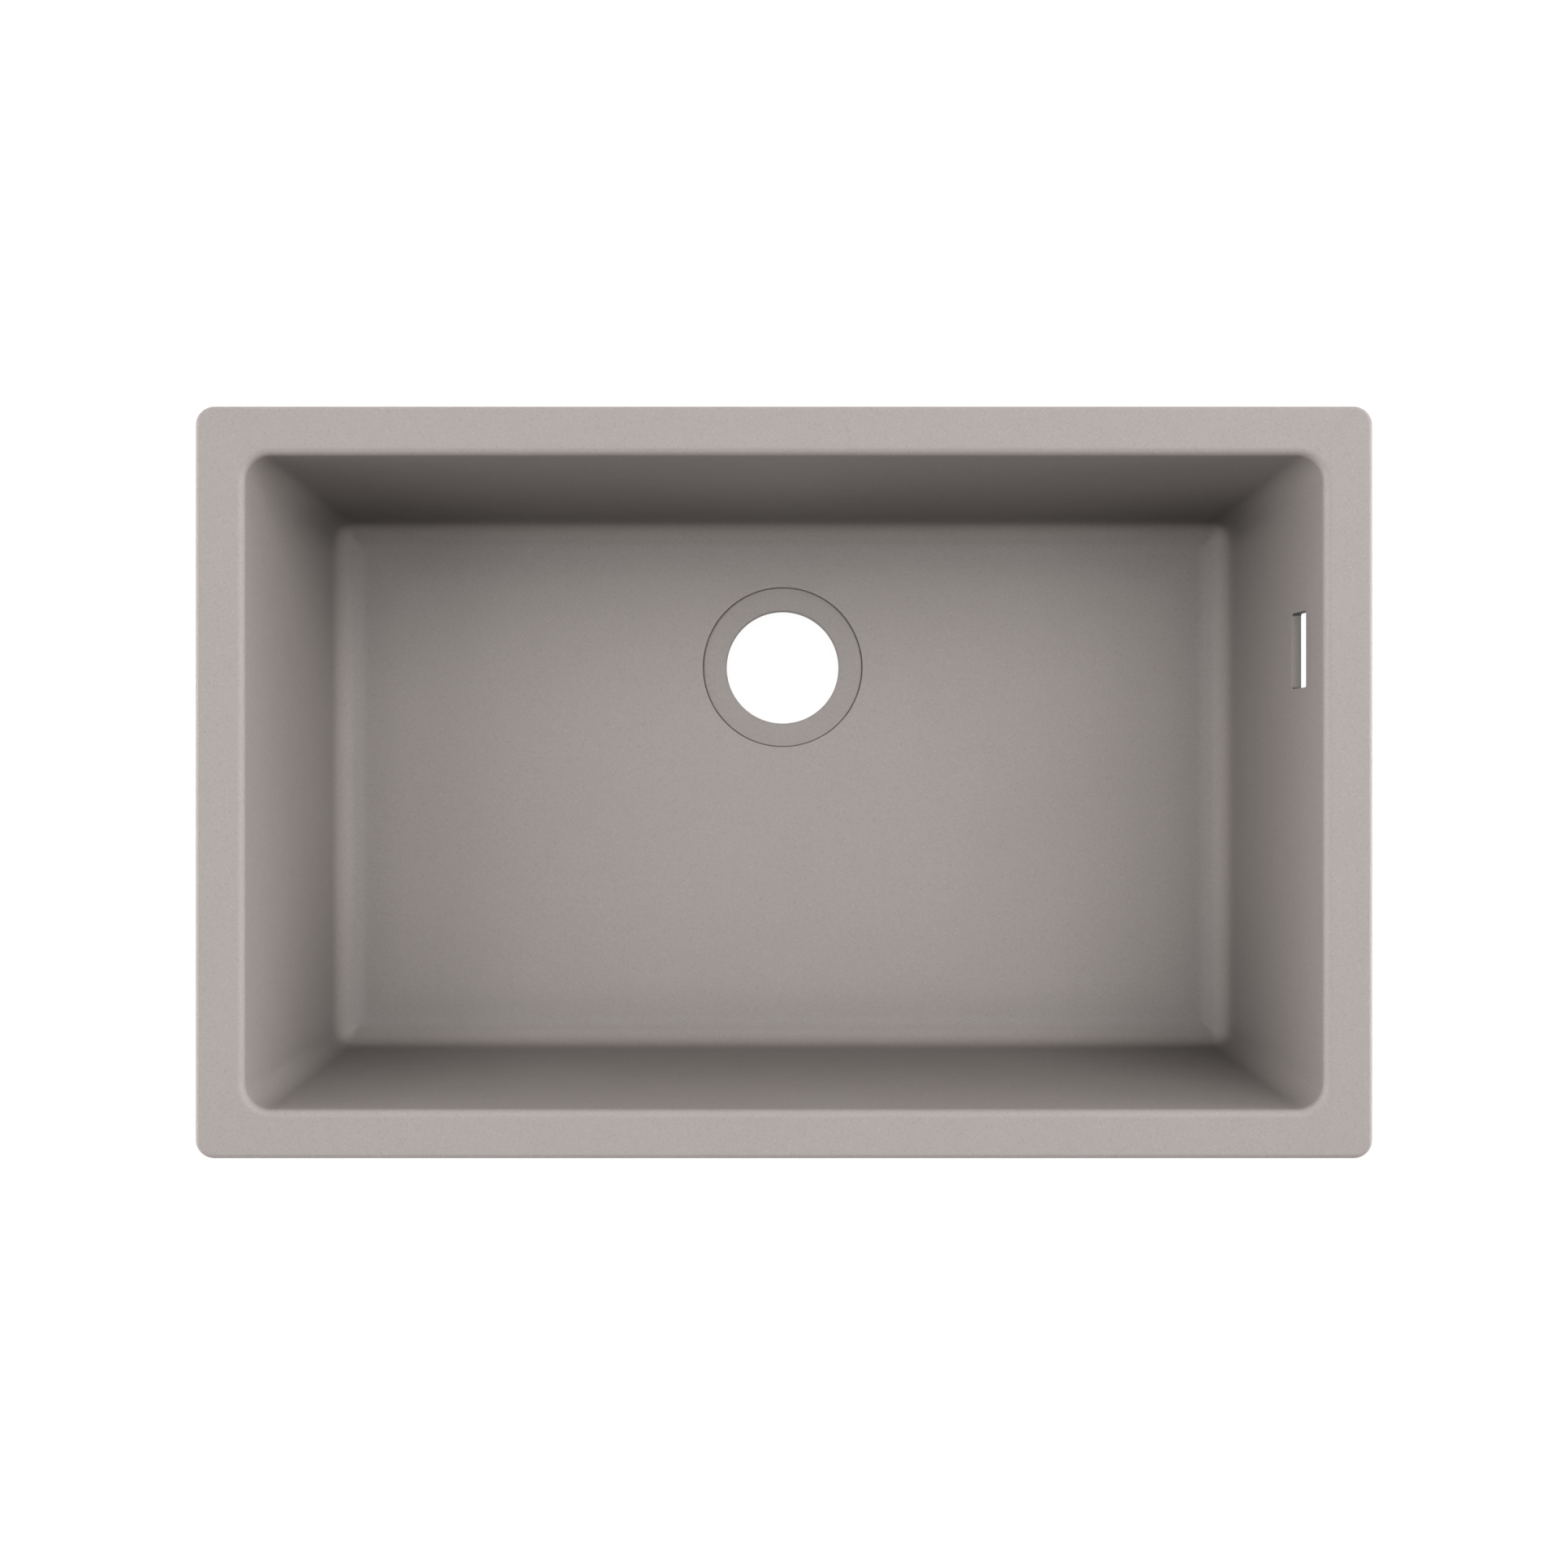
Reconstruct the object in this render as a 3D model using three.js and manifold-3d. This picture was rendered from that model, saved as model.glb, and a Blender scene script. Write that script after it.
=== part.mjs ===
// An undermount kitchen sink: one moulded granite-composite bowl, and the eight cranked straps that hold it
// up under a worktop. Each strap turns on a screw in a brass insert under the rim.
// Millimetres, +Z up. The origin is on the surface that the sink stands on, below the middle of the rim.

import * as THREE from "three";
import { mergeVertices } from "three/addons/utils/BufferGeometryUtils.js";
import Module from "manifold-3d";

// Rim
const rimThickness = 10;
const rimCornerRadius = 11.5;
const rimEdgeRadius = 3;
const rimUnderEdgeRadius = 1.5;

// Bowl, inside
const bowlLength = 660;
const bowlWidth = 400;
const lipRadius = 5;
const bowlCornerTop = 16;
const bowlCornerBase = 12;
const floorCornerRadius = 3;
const drainDepth = 190; // from the rim's top down to the edge of the drain seat
const floorFall = 3; // how far the floor falls from the walls to the drain seat
const floorFillet = 22;
const wallDraft = THREE.MathUtils.degToRad(5.6);

// Bowl, outside
const wallThickness = 8;
const floorThickness = 9;
const rimToWallFillet = 6;

// Drain
const drainX = 0;
const drainY = 83;
const drainHoleRadius = 39.8;
const drainSeatWidth = 16.7;
const drainSeatDepth = 2;
const drainSeatThickness = 10;
const drainBossMargin = 6.5; // how far the boss below reaches past the seat
const drainStepRun = 0.8; // how far the seat's step leans
const drainHoleChamfer = 1;

// Stacking pads under the floor
const padRadius = 13;
const padInsetX = 82;
const padInsetY = 62;
const padChamfer = 1.2;

// Overflow window, high in the right-hand wall and in line with the drain
const overflowDrop = 41; // from the rim's top to the window's middle
const overflowLength = 48;
const overflowHeight = 26;
const overflowCorner = 1.5;
const overflowWall = 6; // what is left of the wall inside the outer seat
const overflowSeatMargin = 14;
const overflowSeatCorner = 6;

// Fixing straps
const strapWidth = 15;
const strapThickness = 2.5;
const strapReach = 52; // from the pivot to the tip
const strapCrankStart = 16;
const strapCrankRun = 8;
const strapTipRadius = 4;
const strapSlotWidth = 6.2;
const strapSlotLength = 18;
const strapSlotFromTip = 5;
const strapClearUnderRim = 1.2;
const strapSideGap = 3.5; // from a parked strap to the wall, and to the rim's edge
const strapEndDistance = 131; // from the rim's ends to the outer straps of a long side
const bossWall = 5.7; // round an insert
const bossHeight = 5;
const bossChamfer = 0.8;

// Screws, inserts and washers, for an M5 thread
const screwRadius = 2.4;
const screwLength = 16;
const screwHeadAcrossFlats = 8;
const screwHeadHeight = 3.5;
const screwSocketAcrossFlats = 4;
const screwSocketDepth = 2;
const screwTipChamfer = 0.6;
const insertRadius = 3.8;
const insertLength = 10;
const insertWaist = 0.6;
const washerRadius = 7.5;
const washerThickness = 1.2;
const springWasherRadius = 4.4;
const springWasherThickness = 1.3;
const springWasherGap = 1.2;
const gasketRadius = 7;
const gasketThickness = 1;

// Clearances
const fitClearance = 0.3; // round a screw, an insert or a strap's pivot
const seatGap = 0.1; // between faces that rest on each other

// What follows from those sizes
const strapInset = strapSideGap + strapWidth / 2;
const rimOverhang = wallThickness + 2 * strapInset;
const rimLength = bowlLength + 2 * rimOverhang;
const rimWidth = bowlWidth + 2 * rimOverhang;
const bossRadius = insertRadius + bossWall;
const drainSeatRadius = drainHoleRadius + drainSeatWidth;
const drainBossRadius = drainSeatRadius + drainBossMargin;
const overflowY = drainY;
const rimTop = drainDepth + drainSeatDepth + drainSeatThickness;
const rimUnderside = rimTop - rimThickness;
const seatFloor = rimTop - drainDepth - drainSeatDepth;
const floorAtDrain = rimTop - drainDepth;
const floorAtWall = floorAtDrain + floorFall;
const bossFace = rimUnderside - bossHeight;
const gasketTop = bossFace - seatGap;
const strapTop = gasketTop - gasketThickness - seatGap;
const strapCrankRise = rimUnderside - strapClearUnderRim - strapTop;
const washerTop = strapTop - strapThickness - seatGap;
const springWasherTop = washerTop - washerThickness - seatGap;
const screwHeadTop = springWasherTop - springWasherThickness - seatGap;
const insertBoreDepth = insertLength + 2 * fitClearance;
const strapHoleRadius = screwRadius + fitClearance;

// Facets
const drainStep = THREE.MathUtils.degToRad(7.5);
const cornerFacets = 5;
const smallFacets = 14;

const wasm = await Module();
wasm.setup();

const composite = new THREE.MeshStandardMaterial({ color: 0x9c958f, roughness: 0.62, metalness: 0 });
const zincSteel = new THREE.MeshStandardMaterial({ color: 0xb9bbbd, roughness: 0.38, metalness: 1 });
const stainless = new THREE.MeshStandardMaterial({ color: 0xc4c5c6, roughness: 0.28, metalness: 1 });
const brass = new THREE.MeshStandardMaterial({ color: 0xb8923f, roughness: 0.35, metalness: 1 });
const fibre = new THREE.MeshStandardMaterial({ color: 0x2b2b2c, roughness: 0.85, metalness: 0 });

// Solids and meshes

function toSolid(geometry) {
  const bare = geometry.index ? geometry.toNonIndexed() : geometry.clone();
  bare.deleteAttribute("normal");
  bare.deleteAttribute("uv");
  const merged = mergeVertices(bare, 1e-4);
  return new wasm.Manifold(
    new wasm.Mesh({
      numProp: 3,
      vertProperties: merged.attributes.position.array,
      triVerts: new Uint32Array(merged.index.array),
    }),
  );
}

function toGeometry(solid) {
  const mesh = solid.getMesh();
  const geometry = new THREE.BufferGeometry();
  geometry.setAttribute("position", new THREE.BufferAttribute(mesh.vertProperties, 3));
  geometry.setIndex(new THREE.BufferAttribute(mesh.triVerts, 1));
  const flat = geometry.toNonIndexed();
  flat.computeVertexNormals();
  return flat;
}

function namedMesh(name, solid, material) {
  const mesh = new THREE.Mesh(toGeometry(solid), material);
  mesh.name = name;
  return mesh;
}

function prism(shape, bottom, top) {
  const geometry = new THREE.ExtrudeGeometry(shape, {
    depth: top - bottom,
    bevelEnabled: false,
    curveSegments: cornerFacets,
  });
  return toSolid(geometry.translate(0, 0, bottom));
}

// A solid of revolution about Z from [radius, height] pairs that go round counter-clockwise.
function turned(profile, facets = smallFacets) {
  const points = profile.map(([radius, height]) => new THREE.Vector2(radius, height));
  points.push(points[0].clone());
  return toSolid(new THREE.LatheGeometry(points, facets).rotateX(Math.PI / 2));
}

function ring(inner, outer, bottom, top, facets) {
  return turned([[inner, bottom], [outer, bottom], [outer, top], [inner, top]], facets);
}

function disc(radius, bottom, top, facets) {
  return turned([[0, bottom], [radius, bottom], [radius, top], [0, top]], facets);
}

function roundedRectangle(length, width, radius) {
  const shape = new THREE.Shape();
  const x = length / 2;
  const y = width / 2;
  shape.moveTo(x, y - radius);
  shape.absarc(x - radius, y - radius, radius, 0, Math.PI / 2);
  shape.absarc(radius - x, y - radius, radius, Math.PI / 2, Math.PI);
  shape.absarc(radius - x, radius - y, radius, Math.PI, 1.5 * Math.PI);
  shape.absarc(x - radius, radius - y, radius, 1.5 * Math.PI, 2 * Math.PI);
  return shape;
}

function hexagon(acrossFlats) {
  const corner = acrossFlats / Math.sqrt(3);
  const shape = new THREE.Shape();
  for (let i = 0; i < 6; i++) {
    const angle = (i * Math.PI) / 3;
    shape[i ? "lineTo" : "moveTo"](corner * Math.cos(angle), corner * Math.sin(angle));
  }
  return shape;
}

// The bowl: one closed skin, lofted through rounded-rectangle sections. It starts at the drain hole, runs out
// along the floor, up the walls, over the lip and the rim, and back down the outside to the hole's lower edge.

function section(halfX, halfY, radius, z) {
  return { halfX, halfY, radius, z };
}

// A section of the bowl at a distance outside its nominal length and width, with the corner radius that goes
// with it.
function bowlSection(outward, radius, z) {
  return section(bowlLength / 2 + outward, bowlWidth / 2 + outward, radius, z);
}

function rimSection(inward, z) {
  const radius = rimCornerRadius - inward;
  return section(rimLength / 2 - inward, rimWidth / 2 - inward, radius, z);
}

// Points on an arc about a centre in the plane of [outward, height], from one angle to another.
function arcPoints(centre, radius, from, to, steps) {
  return Array.from({ length: steps + 1 }, (_, i) => {
    const angle = from + ((to - from) * i) / steps;
    return [centre[0] + radius * Math.cos(angle), centre[1] + radius * Math.sin(angle)];
  });
}

const wallTopHeight = rimTop - lipRadius * (1 - Math.sin(wallDraft));
const wallTopOutward = lipRadius * (1 - Math.cos(wallDraft));

function wallOutward(z) {
  return wallTopOutward - (wallTopHeight - z) * Math.tan(wallDraft);
}

function cornerAt(z) {
  const share = (z - floorAtWall) / (rimTop - floorAtWall);
  return bowlCornerBase + (bowlCornerTop - bowlCornerBase) * share;
}

function innerSections() {
  const filletHeight = floorAtWall + floorFillet;
  const wallEndHeight = filletHeight - floorFillet * Math.sin(wallDraft);
  const filletCentre = [wallOutward(wallEndHeight) - floorFillet * Math.cos(wallDraft), filletHeight];
  const fillet = arcPoints(filletCentre, floorFillet, -Math.PI / 2, -wallDraft, 6).map(([outward, z]) => {
    const inFromWall = wallOutward(z) - outward;
    return bowlSection(outward, Math.max(floorCornerRadius, cornerAt(z) - inFromWall), z);
  });
  const lipCentre = [lipRadius, rimTop - lipRadius];
  const lip = arcPoints(lipCentre, lipRadius, Math.PI - wallDraft, Math.PI / 2, 4).map(([outward, z]) =>
    bowlSection(outward, bowlCornerTop + outward, z),
  );
  return [...fillet, ...lip];
}

function rimSections() {
  const edgeCentre = rimTop - rimEdgeRadius;
  const top = arcPoints([rimEdgeRadius, edgeCentre], rimEdgeRadius, Math.PI / 2, Math.PI, 3);
  const lowCentre = rimUnderside + rimUnderEdgeRadius;
  const low = arcPoints([rimUnderEdgeRadius, lowCentre], rimUnderEdgeRadius, Math.PI, 1.5 * Math.PI, 2);
  return [...top, ...low].map(([inward, z]) => rimSection(inward, z));
}

function outerSections() {
  const across = wallThickness / Math.cos(wallDraft);
  const outerCorner = (z) => cornerAt(z) + wallThickness;
  const topHeight = rimUnderside - rimToWallFillet * (1 - Math.sin(wallDraft));
  const topCentre = [
    wallOutward(topHeight) + across + rimToWallFillet * Math.cos(wallDraft),
    rimUnderside - rimToWallFillet,
  ];
  const topFillet = arcPoints(topCentre, rimToWallFillet, Math.PI / 2, Math.PI - wallDraft, 3).map(
    ([outward, z]) => bowlSection(outward, outerCorner(z) + outward - wallOutward(z) - across, z),
  );
  const baseRadius = floorFillet + wallThickness;
  const baseHeight = floorAtWall - floorThickness;
  const baseCentreHeight = baseHeight + baseRadius;
  const wallEnd = baseCentreHeight - baseRadius * Math.sin(wallDraft);
  const baseCentre = [wallOutward(wallEnd) + across - baseRadius * Math.cos(wallDraft), baseCentreHeight];
  const base = arcPoints(baseCentre, baseRadius, -wallDraft, -Math.PI / 2, 5).map(([outward, z]) => {
    const inFromWall = wallOutward(z) + across - outward;
    return bowlSection(outward, Math.max(floorCornerRadius, outerCorner(z) - inFromWall), z);
  });
  return [...topFillet, ...base];
}

// Where along each straight side the lofted lines run, as shares of the side, so that they fan out evenly
// round the drain. The sides come in the order right, back, left, front.
function sideShares({ halfX, halfY, radius }) {
  const corners = [
    [halfX, radius - halfY],
    [halfX, halfY - radius],
    [halfX - radius, halfY],
    [radius - halfX, halfY],
    [-halfX, halfY - radius],
    [-halfX, radius - halfY],
    [radius - halfX, -halfY],
    [halfX - radius, -halfY],
  ];
  return [0, 1, 2, 3].map((side) => {
    const [from, to] = [corners[2 * side], corners[2 * side + 1]];
    const angleOf = ([x, y]) => Math.atan2(y - drainY, x - drainX);
    const start = angleOf(from);
    const turn = (angleOf(to) - start + 2 * Math.PI) % (2 * Math.PI);
    const steps = Math.round(turn / drainStep);
    return Array.from({ length: steps - 1 }, (_, i) => {
      const angle = start + (turn * (i + 1)) / steps;
      const [dx, dy] = [to[0] - from[0], to[1] - from[1]];
      const [rx, ry] = [drainX - from[0], drainY - from[1]];
      return (ry * Math.cos(angle) - rx * Math.sin(angle)) / (dy * Math.cos(angle) - dx * Math.sin(angle));
    });
  });
}

function sectionPoints({ halfX, halfY, radius, z }, shares) {
  const centres = [
    [halfX - radius, halfY - radius],
    [radius - halfX, halfY - radius],
    [radius - halfX, radius - halfY],
    [halfX - radius, radius - halfY],
  ];
  const points = [];
  for (let corner = 0; corner < 4; corner++) {
    const [cx, cy] = centres[corner];
    const [px, py] = centres[(corner + 3) % 4];
    const startAngle = (corner * Math.PI) / 2;
    const along = [radius * Math.cos(startAngle), radius * Math.sin(startAngle)];
    for (const share of shares[corner]) {
      points.push([px + (cx - px) * share + along[0], py + (cy - py) * share + along[1], z]);
    }
    for (let i = 0; i <= cornerFacets; i++) {
      const angle = startAngle + (i * Math.PI) / 2 / cornerFacets;
      points.push([cx + radius * Math.cos(angle), cy + radius * Math.sin(angle), z]);
    }
  }
  return points;
}

function drainPoints(radius, z, guide) {
  return guide.map(([x, y]) => {
    const angle = Math.atan2(y - drainY, x - drainX);
    return [drainX + radius * Math.cos(angle), drainY + radius * Math.sin(angle), z];
  });
}

// Joins closed rings of equal counts into one closed skin. The last ring is joined to the first.
function loft(rings) {
  const count = rings[0].length;
  const indices = [];
  rings.forEach((_, k) => {
    const next = (k + 1) % rings.length;
    for (let i = 0; i < count; i++) {
      const j = (i + 1) % count;
      const [a, b, c, d] = [k * count + i, k * count + j, next * count + j, next * count + i];
      indices.push(a, c, b, a, d, c);
    }
  });
  const geometry = new THREE.BufferGeometry();
  geometry.setAttribute("position", new THREE.Float32BufferAttribute(rings.flat(2), 3));
  geometry.setIndex(indices);
  return toSolid(geometry);
}

function bowlSkin() {
  const inner = innerSections();
  const shares = sideShares(inner[0]);
  const walls = [...inner, ...rimSections(), ...outerSections()].map((s) => sectionPoints(s, shares));
  const guide = walls[0];
  const bossTop = floorAtDrain - floorThickness;
  const drainTop = [
    [drainHoleRadius, seatFloor],
    [drainSeatRadius - drainStepRun, seatFloor],
    [drainSeatRadius, floorAtDrain],
  ];
  const drainBottom = [
    [drainBossRadius + bossTop, bossTop],
    [drainBossRadius, 0],
    [drainHoleRadius + drainHoleChamfer, 0],
    [drainHoleRadius, drainHoleChamfer],
  ];
  const rings = ([radius, z]) => drainPoints(radius, z, guide);
  return loft([...drainTop.map(rings), ...walls, ...drainBottom.map(rings)]);
}

function stackingPads() {
  const sunk = floorAtWall - floorThickness / 2;
  const profile = [[0, 0], [padRadius - padChamfer, 0], [padRadius, padChamfer], [padRadius, sunk], [0, sunk]];
  const pad = turned(profile, 20);
  return [-1, 1].flatMap((sx) =>
    [-1, 1].map((sy) => pad.translate([sx * (bowlLength / 2 - padInsetX), sy * (bowlWidth / 2 - padInsetY), 0])),
  );
}

// The window through the right-hand wall, and the shallow flat seat for an overflow elbow on its outside.
function overflowCuts() {
  const middle = rimTop - overflowDrop;
  const innerFace = bowlLength / 2 + wallOutward(middle);
  const window = new THREE.ExtrudeGeometry(
    roundedRectangle(overflowLength, overflowHeight, overflowCorner),
    { depth: 4 * wallThickness, bevelEnabled: false, curveSegments: 2 },
  );
  window.rotateX(Math.PI / 2).rotateZ(Math.PI / 2);
  window.translate(innerFace - 1.5 * wallThickness, overflowY, middle);
  const seat = new THREE.ExtrudeGeometry(
    roundedRectangle(
      overflowLength + 2 * overflowSeatMargin,
      overflowHeight + 2 * overflowSeatMargin,
      overflowSeatCorner,
    ),
    { depth: 2 * wallThickness, bevelEnabled: false, curveSegments: 4 },
  );
  seat.rotateX(Math.PI / 2).rotateZ(Math.PI / 2).translate(overflowWall, 0, 0);
  seat.rotateY(wallDraft).translate(innerFace, overflowY, middle);
  return [toSolid(window), toSolid(seat)];
}

// Strap stations: [x, y, turn], where turn points each station's own +X out over the rim's edge.
function strapStations() {
  const farX = rimLength / 2 - strapInset;
  const farY = rimWidth / 2 - strapInset;
  const pitch = rimLength / 2 - strapEndDistance;
  const rows = [-1, 0, 1];
  return [
    [farX, -strapReach / 2, 0],
    ...rows.map((i) => [-i * pitch, farY, Math.PI / 2]),
    [-farX, strapReach / 2, Math.PI],
    ...rows.map((i) => [i * pitch, -farY, -Math.PI / 2]),
  ];
}

function placed(solid, [x, y, turn]) {
  return solid.rotate([0, 0, THREE.MathUtils.radToDeg(turn)]).translate([x, y, 0]);
}

// A boss under the rim, round at its outer end and run back into the wall.
function strapBoss() {
  const back = wallOutward(bossFace) + wallThickness / 2 - rimOverhang + strapInset;
  const outline = (radius) => {
    const shape = new THREE.Shape();
    shape.moveTo(back, -radius);
    shape.absarc(0, 0, radius, -Math.PI / 2, Math.PI / 2);
    shape.lineTo(back, radius);
    return shape;
  };
  const sunk = rimUnderside + 1;
  const body = prism(outline(bossRadius), bossFace + bossChamfer, sunk);
  const foot = prism(outline(bossRadius - bossChamfer), bossFace, sunk);
  return body.add(foot);
}

function bowl() {
  const adds = [...stackingPads(), ...strapStations().map((at) => placed(strapBoss(), at))];
  const bore = disc(insertRadius + fitClearance, bossFace - 1, bossFace + insertBoreDepth);
  const cuts = [...overflowCuts(), ...strapStations().map((at) => placed(bore, at))];
  const whole = adds.reduce((solid, add) => solid.add(add), bowlSkin());
  return cuts.reduce((solid, cut) => solid.subtract(cut), whole);
}

// One strap, from its pivot along +X: a flat strip with a step up to a raised, slotted end.
function strap() {
  const crankEnd = strapCrankStart + strapCrankRun;
  const heel = -strapWidth / 2;
  const side = new THREE.Shape();
  side.moveTo(heel, 0);
  side.lineTo(strapCrankStart + strapThickness / 2, 0);
  side.lineTo(crankEnd + strapThickness / 2, strapCrankRise);
  side.lineTo(strapReach, strapCrankRise);
  side.lineTo(strapReach, strapCrankRise + strapThickness);
  side.lineTo(crankEnd - strapThickness / 2, strapCrankRise + strapThickness);
  side.lineTo(strapCrankStart - strapThickness / 2, strapThickness);
  side.lineTo(heel, strapThickness);
  const strip = new THREE.ExtrudeGeometry(side, { depth: strapWidth, bevelEnabled: false });
  strip.rotateX(Math.PI / 2).translate(0, strapWidth / 2, strapTop - strapThickness);

  const plan = new THREE.Shape();
  plan.absarc(0, 0, strapWidth / 2, Math.PI / 2, 1.5 * Math.PI);
  const tip = strapReach - strapTipRadius;
  const shoulder = strapWidth / 2 - strapTipRadius;
  plan.absarc(tip, -shoulder, strapTipRadius, -Math.PI / 2, 0);
  plan.absarc(tip, shoulder, strapTipRadius, 0, Math.PI / 2);
  const outline = prism(plan, strapTop - 2 * strapThickness, rimTop);

  const slot = new THREE.Shape();
  const slotRadius = strapSlotWidth / 2;
  const slotEnd = strapReach - strapSlotFromTip - slotRadius;
  const slotStart = slotEnd - strapSlotLength + strapSlotWidth;
  slot.absarc(slotEnd, 0, slotRadius, -Math.PI / 2, Math.PI / 2);
  slot.absarc(slotStart, 0, slotRadius, Math.PI / 2, 1.5 * Math.PI);
  const hole = disc(strapHoleRadius, strapTop - 2 * strapThickness, rimTop);
  return toSolid(strip).intersect(outline).subtract(prism(slot, 0, rimTop)).subtract(hole);
}

function screw() {
  const tip = screwHeadTop + screwLength;
  const shank = turned([
    [0, screwHeadTop - 1],
    [screwRadius, screwHeadTop - 1],
    [screwRadius, tip - screwTipChamfer],
    [screwRadius - screwTipChamfer, tip],
    [0, tip],
  ]);
  const headBottom = screwHeadTop - screwHeadHeight;
  const head = prism(hexagon(screwHeadAcrossFlats), headBottom, screwHeadTop);
  const socket = prism(hexagon(screwSocketAcrossFlats), headBottom - 1, headBottom + screwSocketDepth);
  return head.add(shank).subtract(socket);
}

// A threaded insert with a waist, so that the moulded stone holds it.
function insert() {
  const bottom = bossFace + fitClearance;
  const top = bottom + insertLength;
  const waist = insertRadius - insertWaist;
  const bore = screwRadius + fitClearance;
  return turned([
    [bore, bottom],
    [insertRadius, bottom],
    [insertRadius, bottom + insertLength * 0.35],
    [waist, bottom + insertLength * 0.43],
    [waist, bottom + insertLength * 0.57],
    [insertRadius, bottom + insertLength * 0.65],
    [insertRadius, top],
    [bore, top],
  ]);
}

function springWasher() {
  const body = ring(
    strapHoleRadius,
    springWasherRadius,
    springWasherTop - springWasherThickness,
    springWasherTop,
    smallFacets,
  );
  const split = new THREE.BoxGeometry(springWasherRadius, springWasherGap, 4 * springWasherThickness);
  split.rotateX(Math.PI / 6).translate(springWasherRadius, 0, springWasherTop - springWasherThickness / 2);
  return body.subtract(toSolid(split));
}

// The pieces at one strap station. At rest each strap is parked along the rim, out of sight from above.
function strapStation(index, at) {
  const group = new THREE.Group();
  group.position.set(at[0], at[1], 0);
  group.rotation.z = at[2];
  const swinging = namedMesh(`fixing_strap_${index}`, strap(), zincSteel);
  swinging.rotation.z = -Math.PI / 2;
  const washer = ring(strapHoleRadius, washerRadius, washerTop - washerThickness, washerTop, smallFacets);
  const gasket = ring(strapHoleRadius, gasketRadius, gasketTop - gasketThickness, gasketTop, smallFacets);
  group.add(
    swinging,
    namedMesh(`threaded_insert_${index}`, insert(), brass),
    namedMesh(`gasket_washer_${index}`, gasket, fibre),
    namedMesh(`flat_washer_${index}`, washer, stainless),
    namedMesh(`spring_washer_${index}`, springWasher(), stainless),
    namedMesh(`strap_screw_${index}`, screw(), stainless),
  );
  return group;
}

const sink = new THREE.Group();
sink.add(namedMesh("bowl", bowl(), composite));
strapStations().forEach((at, i) => sink.add(strapStation(i + 1, at)));

export default sink;
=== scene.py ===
from math import atan2, copysign, cos, pi, radians, sin, sqrt, tan

import bmesh
import bpy
from mathutils import Matrix, Vector


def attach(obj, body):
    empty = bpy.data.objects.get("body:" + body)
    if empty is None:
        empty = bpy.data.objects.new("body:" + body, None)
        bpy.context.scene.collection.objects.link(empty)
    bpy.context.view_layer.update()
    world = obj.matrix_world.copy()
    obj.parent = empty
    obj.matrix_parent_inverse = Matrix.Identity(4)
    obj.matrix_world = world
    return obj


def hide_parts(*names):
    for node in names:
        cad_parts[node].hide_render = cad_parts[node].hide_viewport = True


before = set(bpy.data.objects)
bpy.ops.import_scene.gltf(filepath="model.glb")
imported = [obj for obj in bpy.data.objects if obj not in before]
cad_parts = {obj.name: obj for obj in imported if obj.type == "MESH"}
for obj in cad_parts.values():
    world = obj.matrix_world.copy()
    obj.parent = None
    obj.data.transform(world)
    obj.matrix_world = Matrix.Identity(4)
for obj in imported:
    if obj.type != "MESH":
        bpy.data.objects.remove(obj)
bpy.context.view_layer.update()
mm = 0.001
quarterTurn = [pi / 2 * i / 5 for i in range(6)]


def say(text):
    print("stage:", text, flush=True)


def arc(centre, radius, start, end, steps):
    angles = [start + (end - start) * i / steps for i in range(steps + 1)]
    return [(centre[0] + radius * cos(a), centre[1] + radius * sin(a)) for a in angles]


def circle(radius, z, angles):
    return [(radius * cos(a), radius * sin(a), z) for a in angles]


def linked(name, data):
    thing = bpy.data.objects.new(name, data)
    bpy.context.scene.collection.objects.link(thing)
    return thing


def newPiece(name, vertices, faces):
    mesh = bpy.data.meshes.new(name)
    mesh.from_pydata([tuple(c * mm for c in v) for v in vertices], [], faces)
    mesh.validate()
    return linked(name, mesh)


def ringFaces(rings, count, closed):
    faces = []
    for k in range(rings if closed else rings - 1):
        low, high = k * count, (k + 1) % rings * count
        for i in range(count):
            j = (i + 1) % count
            faces.append((low + i, high + i, high + j, low + j))
    return faces


# Closes a stack of equal rings with a cap at each end and turns its faces outwards.
def lofted(name, rings):
    count = len(rings[0])
    vertices = [point for ring in rings for point in ring]
    faces = ringFaces(len(rings), count, closed=False)
    faces.append(tuple(range(count)))
    faces.append(tuple(range(len(vertices) - count, len(vertices))))
    piece = newPiece(name, vertices, faces)
    faceOutwards(piece.data)
    return piece


def faceOutwards(mesh):
    work = bmesh.new()
    work.from_mesh(mesh)
    bmesh.ops.recalc_face_normals(work, faces=work.faces)
    if work.calc_volume(signed=True) < 0:
        bmesh.ops.reverse_faces(work, faces=work.faces)
    work.to_mesh(mesh)
    work.free()


def smoothBy(mesh, degrees):
    mesh.shade_smooth()
    mesh.set_sharp_from_angle(angle=radians(degrees))


# A surface of revolution about Z through (radius, height) points, closed on itself or on the axis.
def turned(name, profile, steps):
    ring = [2 * pi * i / steps for i in range(steps)]
    vertices = [point for radius, z in profile for point in circle(radius, z, ring)]
    faces = ringFaces(len(profile), steps, closed=True)
    piece = newPiece(name, vertices, faces)
    work = bmesh.new()
    work.from_mesh(piece.data)
    bmesh.ops.remove_doubles(work, verts=work.verts, dist=1e-6)
    bmesh.ops.dissolve_degenerate(work, edges=work.edges, dist=1e-7)
    work.to_mesh(piece.data)
    work.free()
    faceOutwards(piece.data)
    return piece


def joined(name, pieces):
    work = bmesh.new()
    for piece in pieces:
        work.from_mesh(piece.data)
        bpy.data.objects.remove(piece)
    mesh = bpy.data.meshes.new(name)
    work.to_mesh(mesh)
    work.free()
    return linked(name, mesh)


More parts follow.
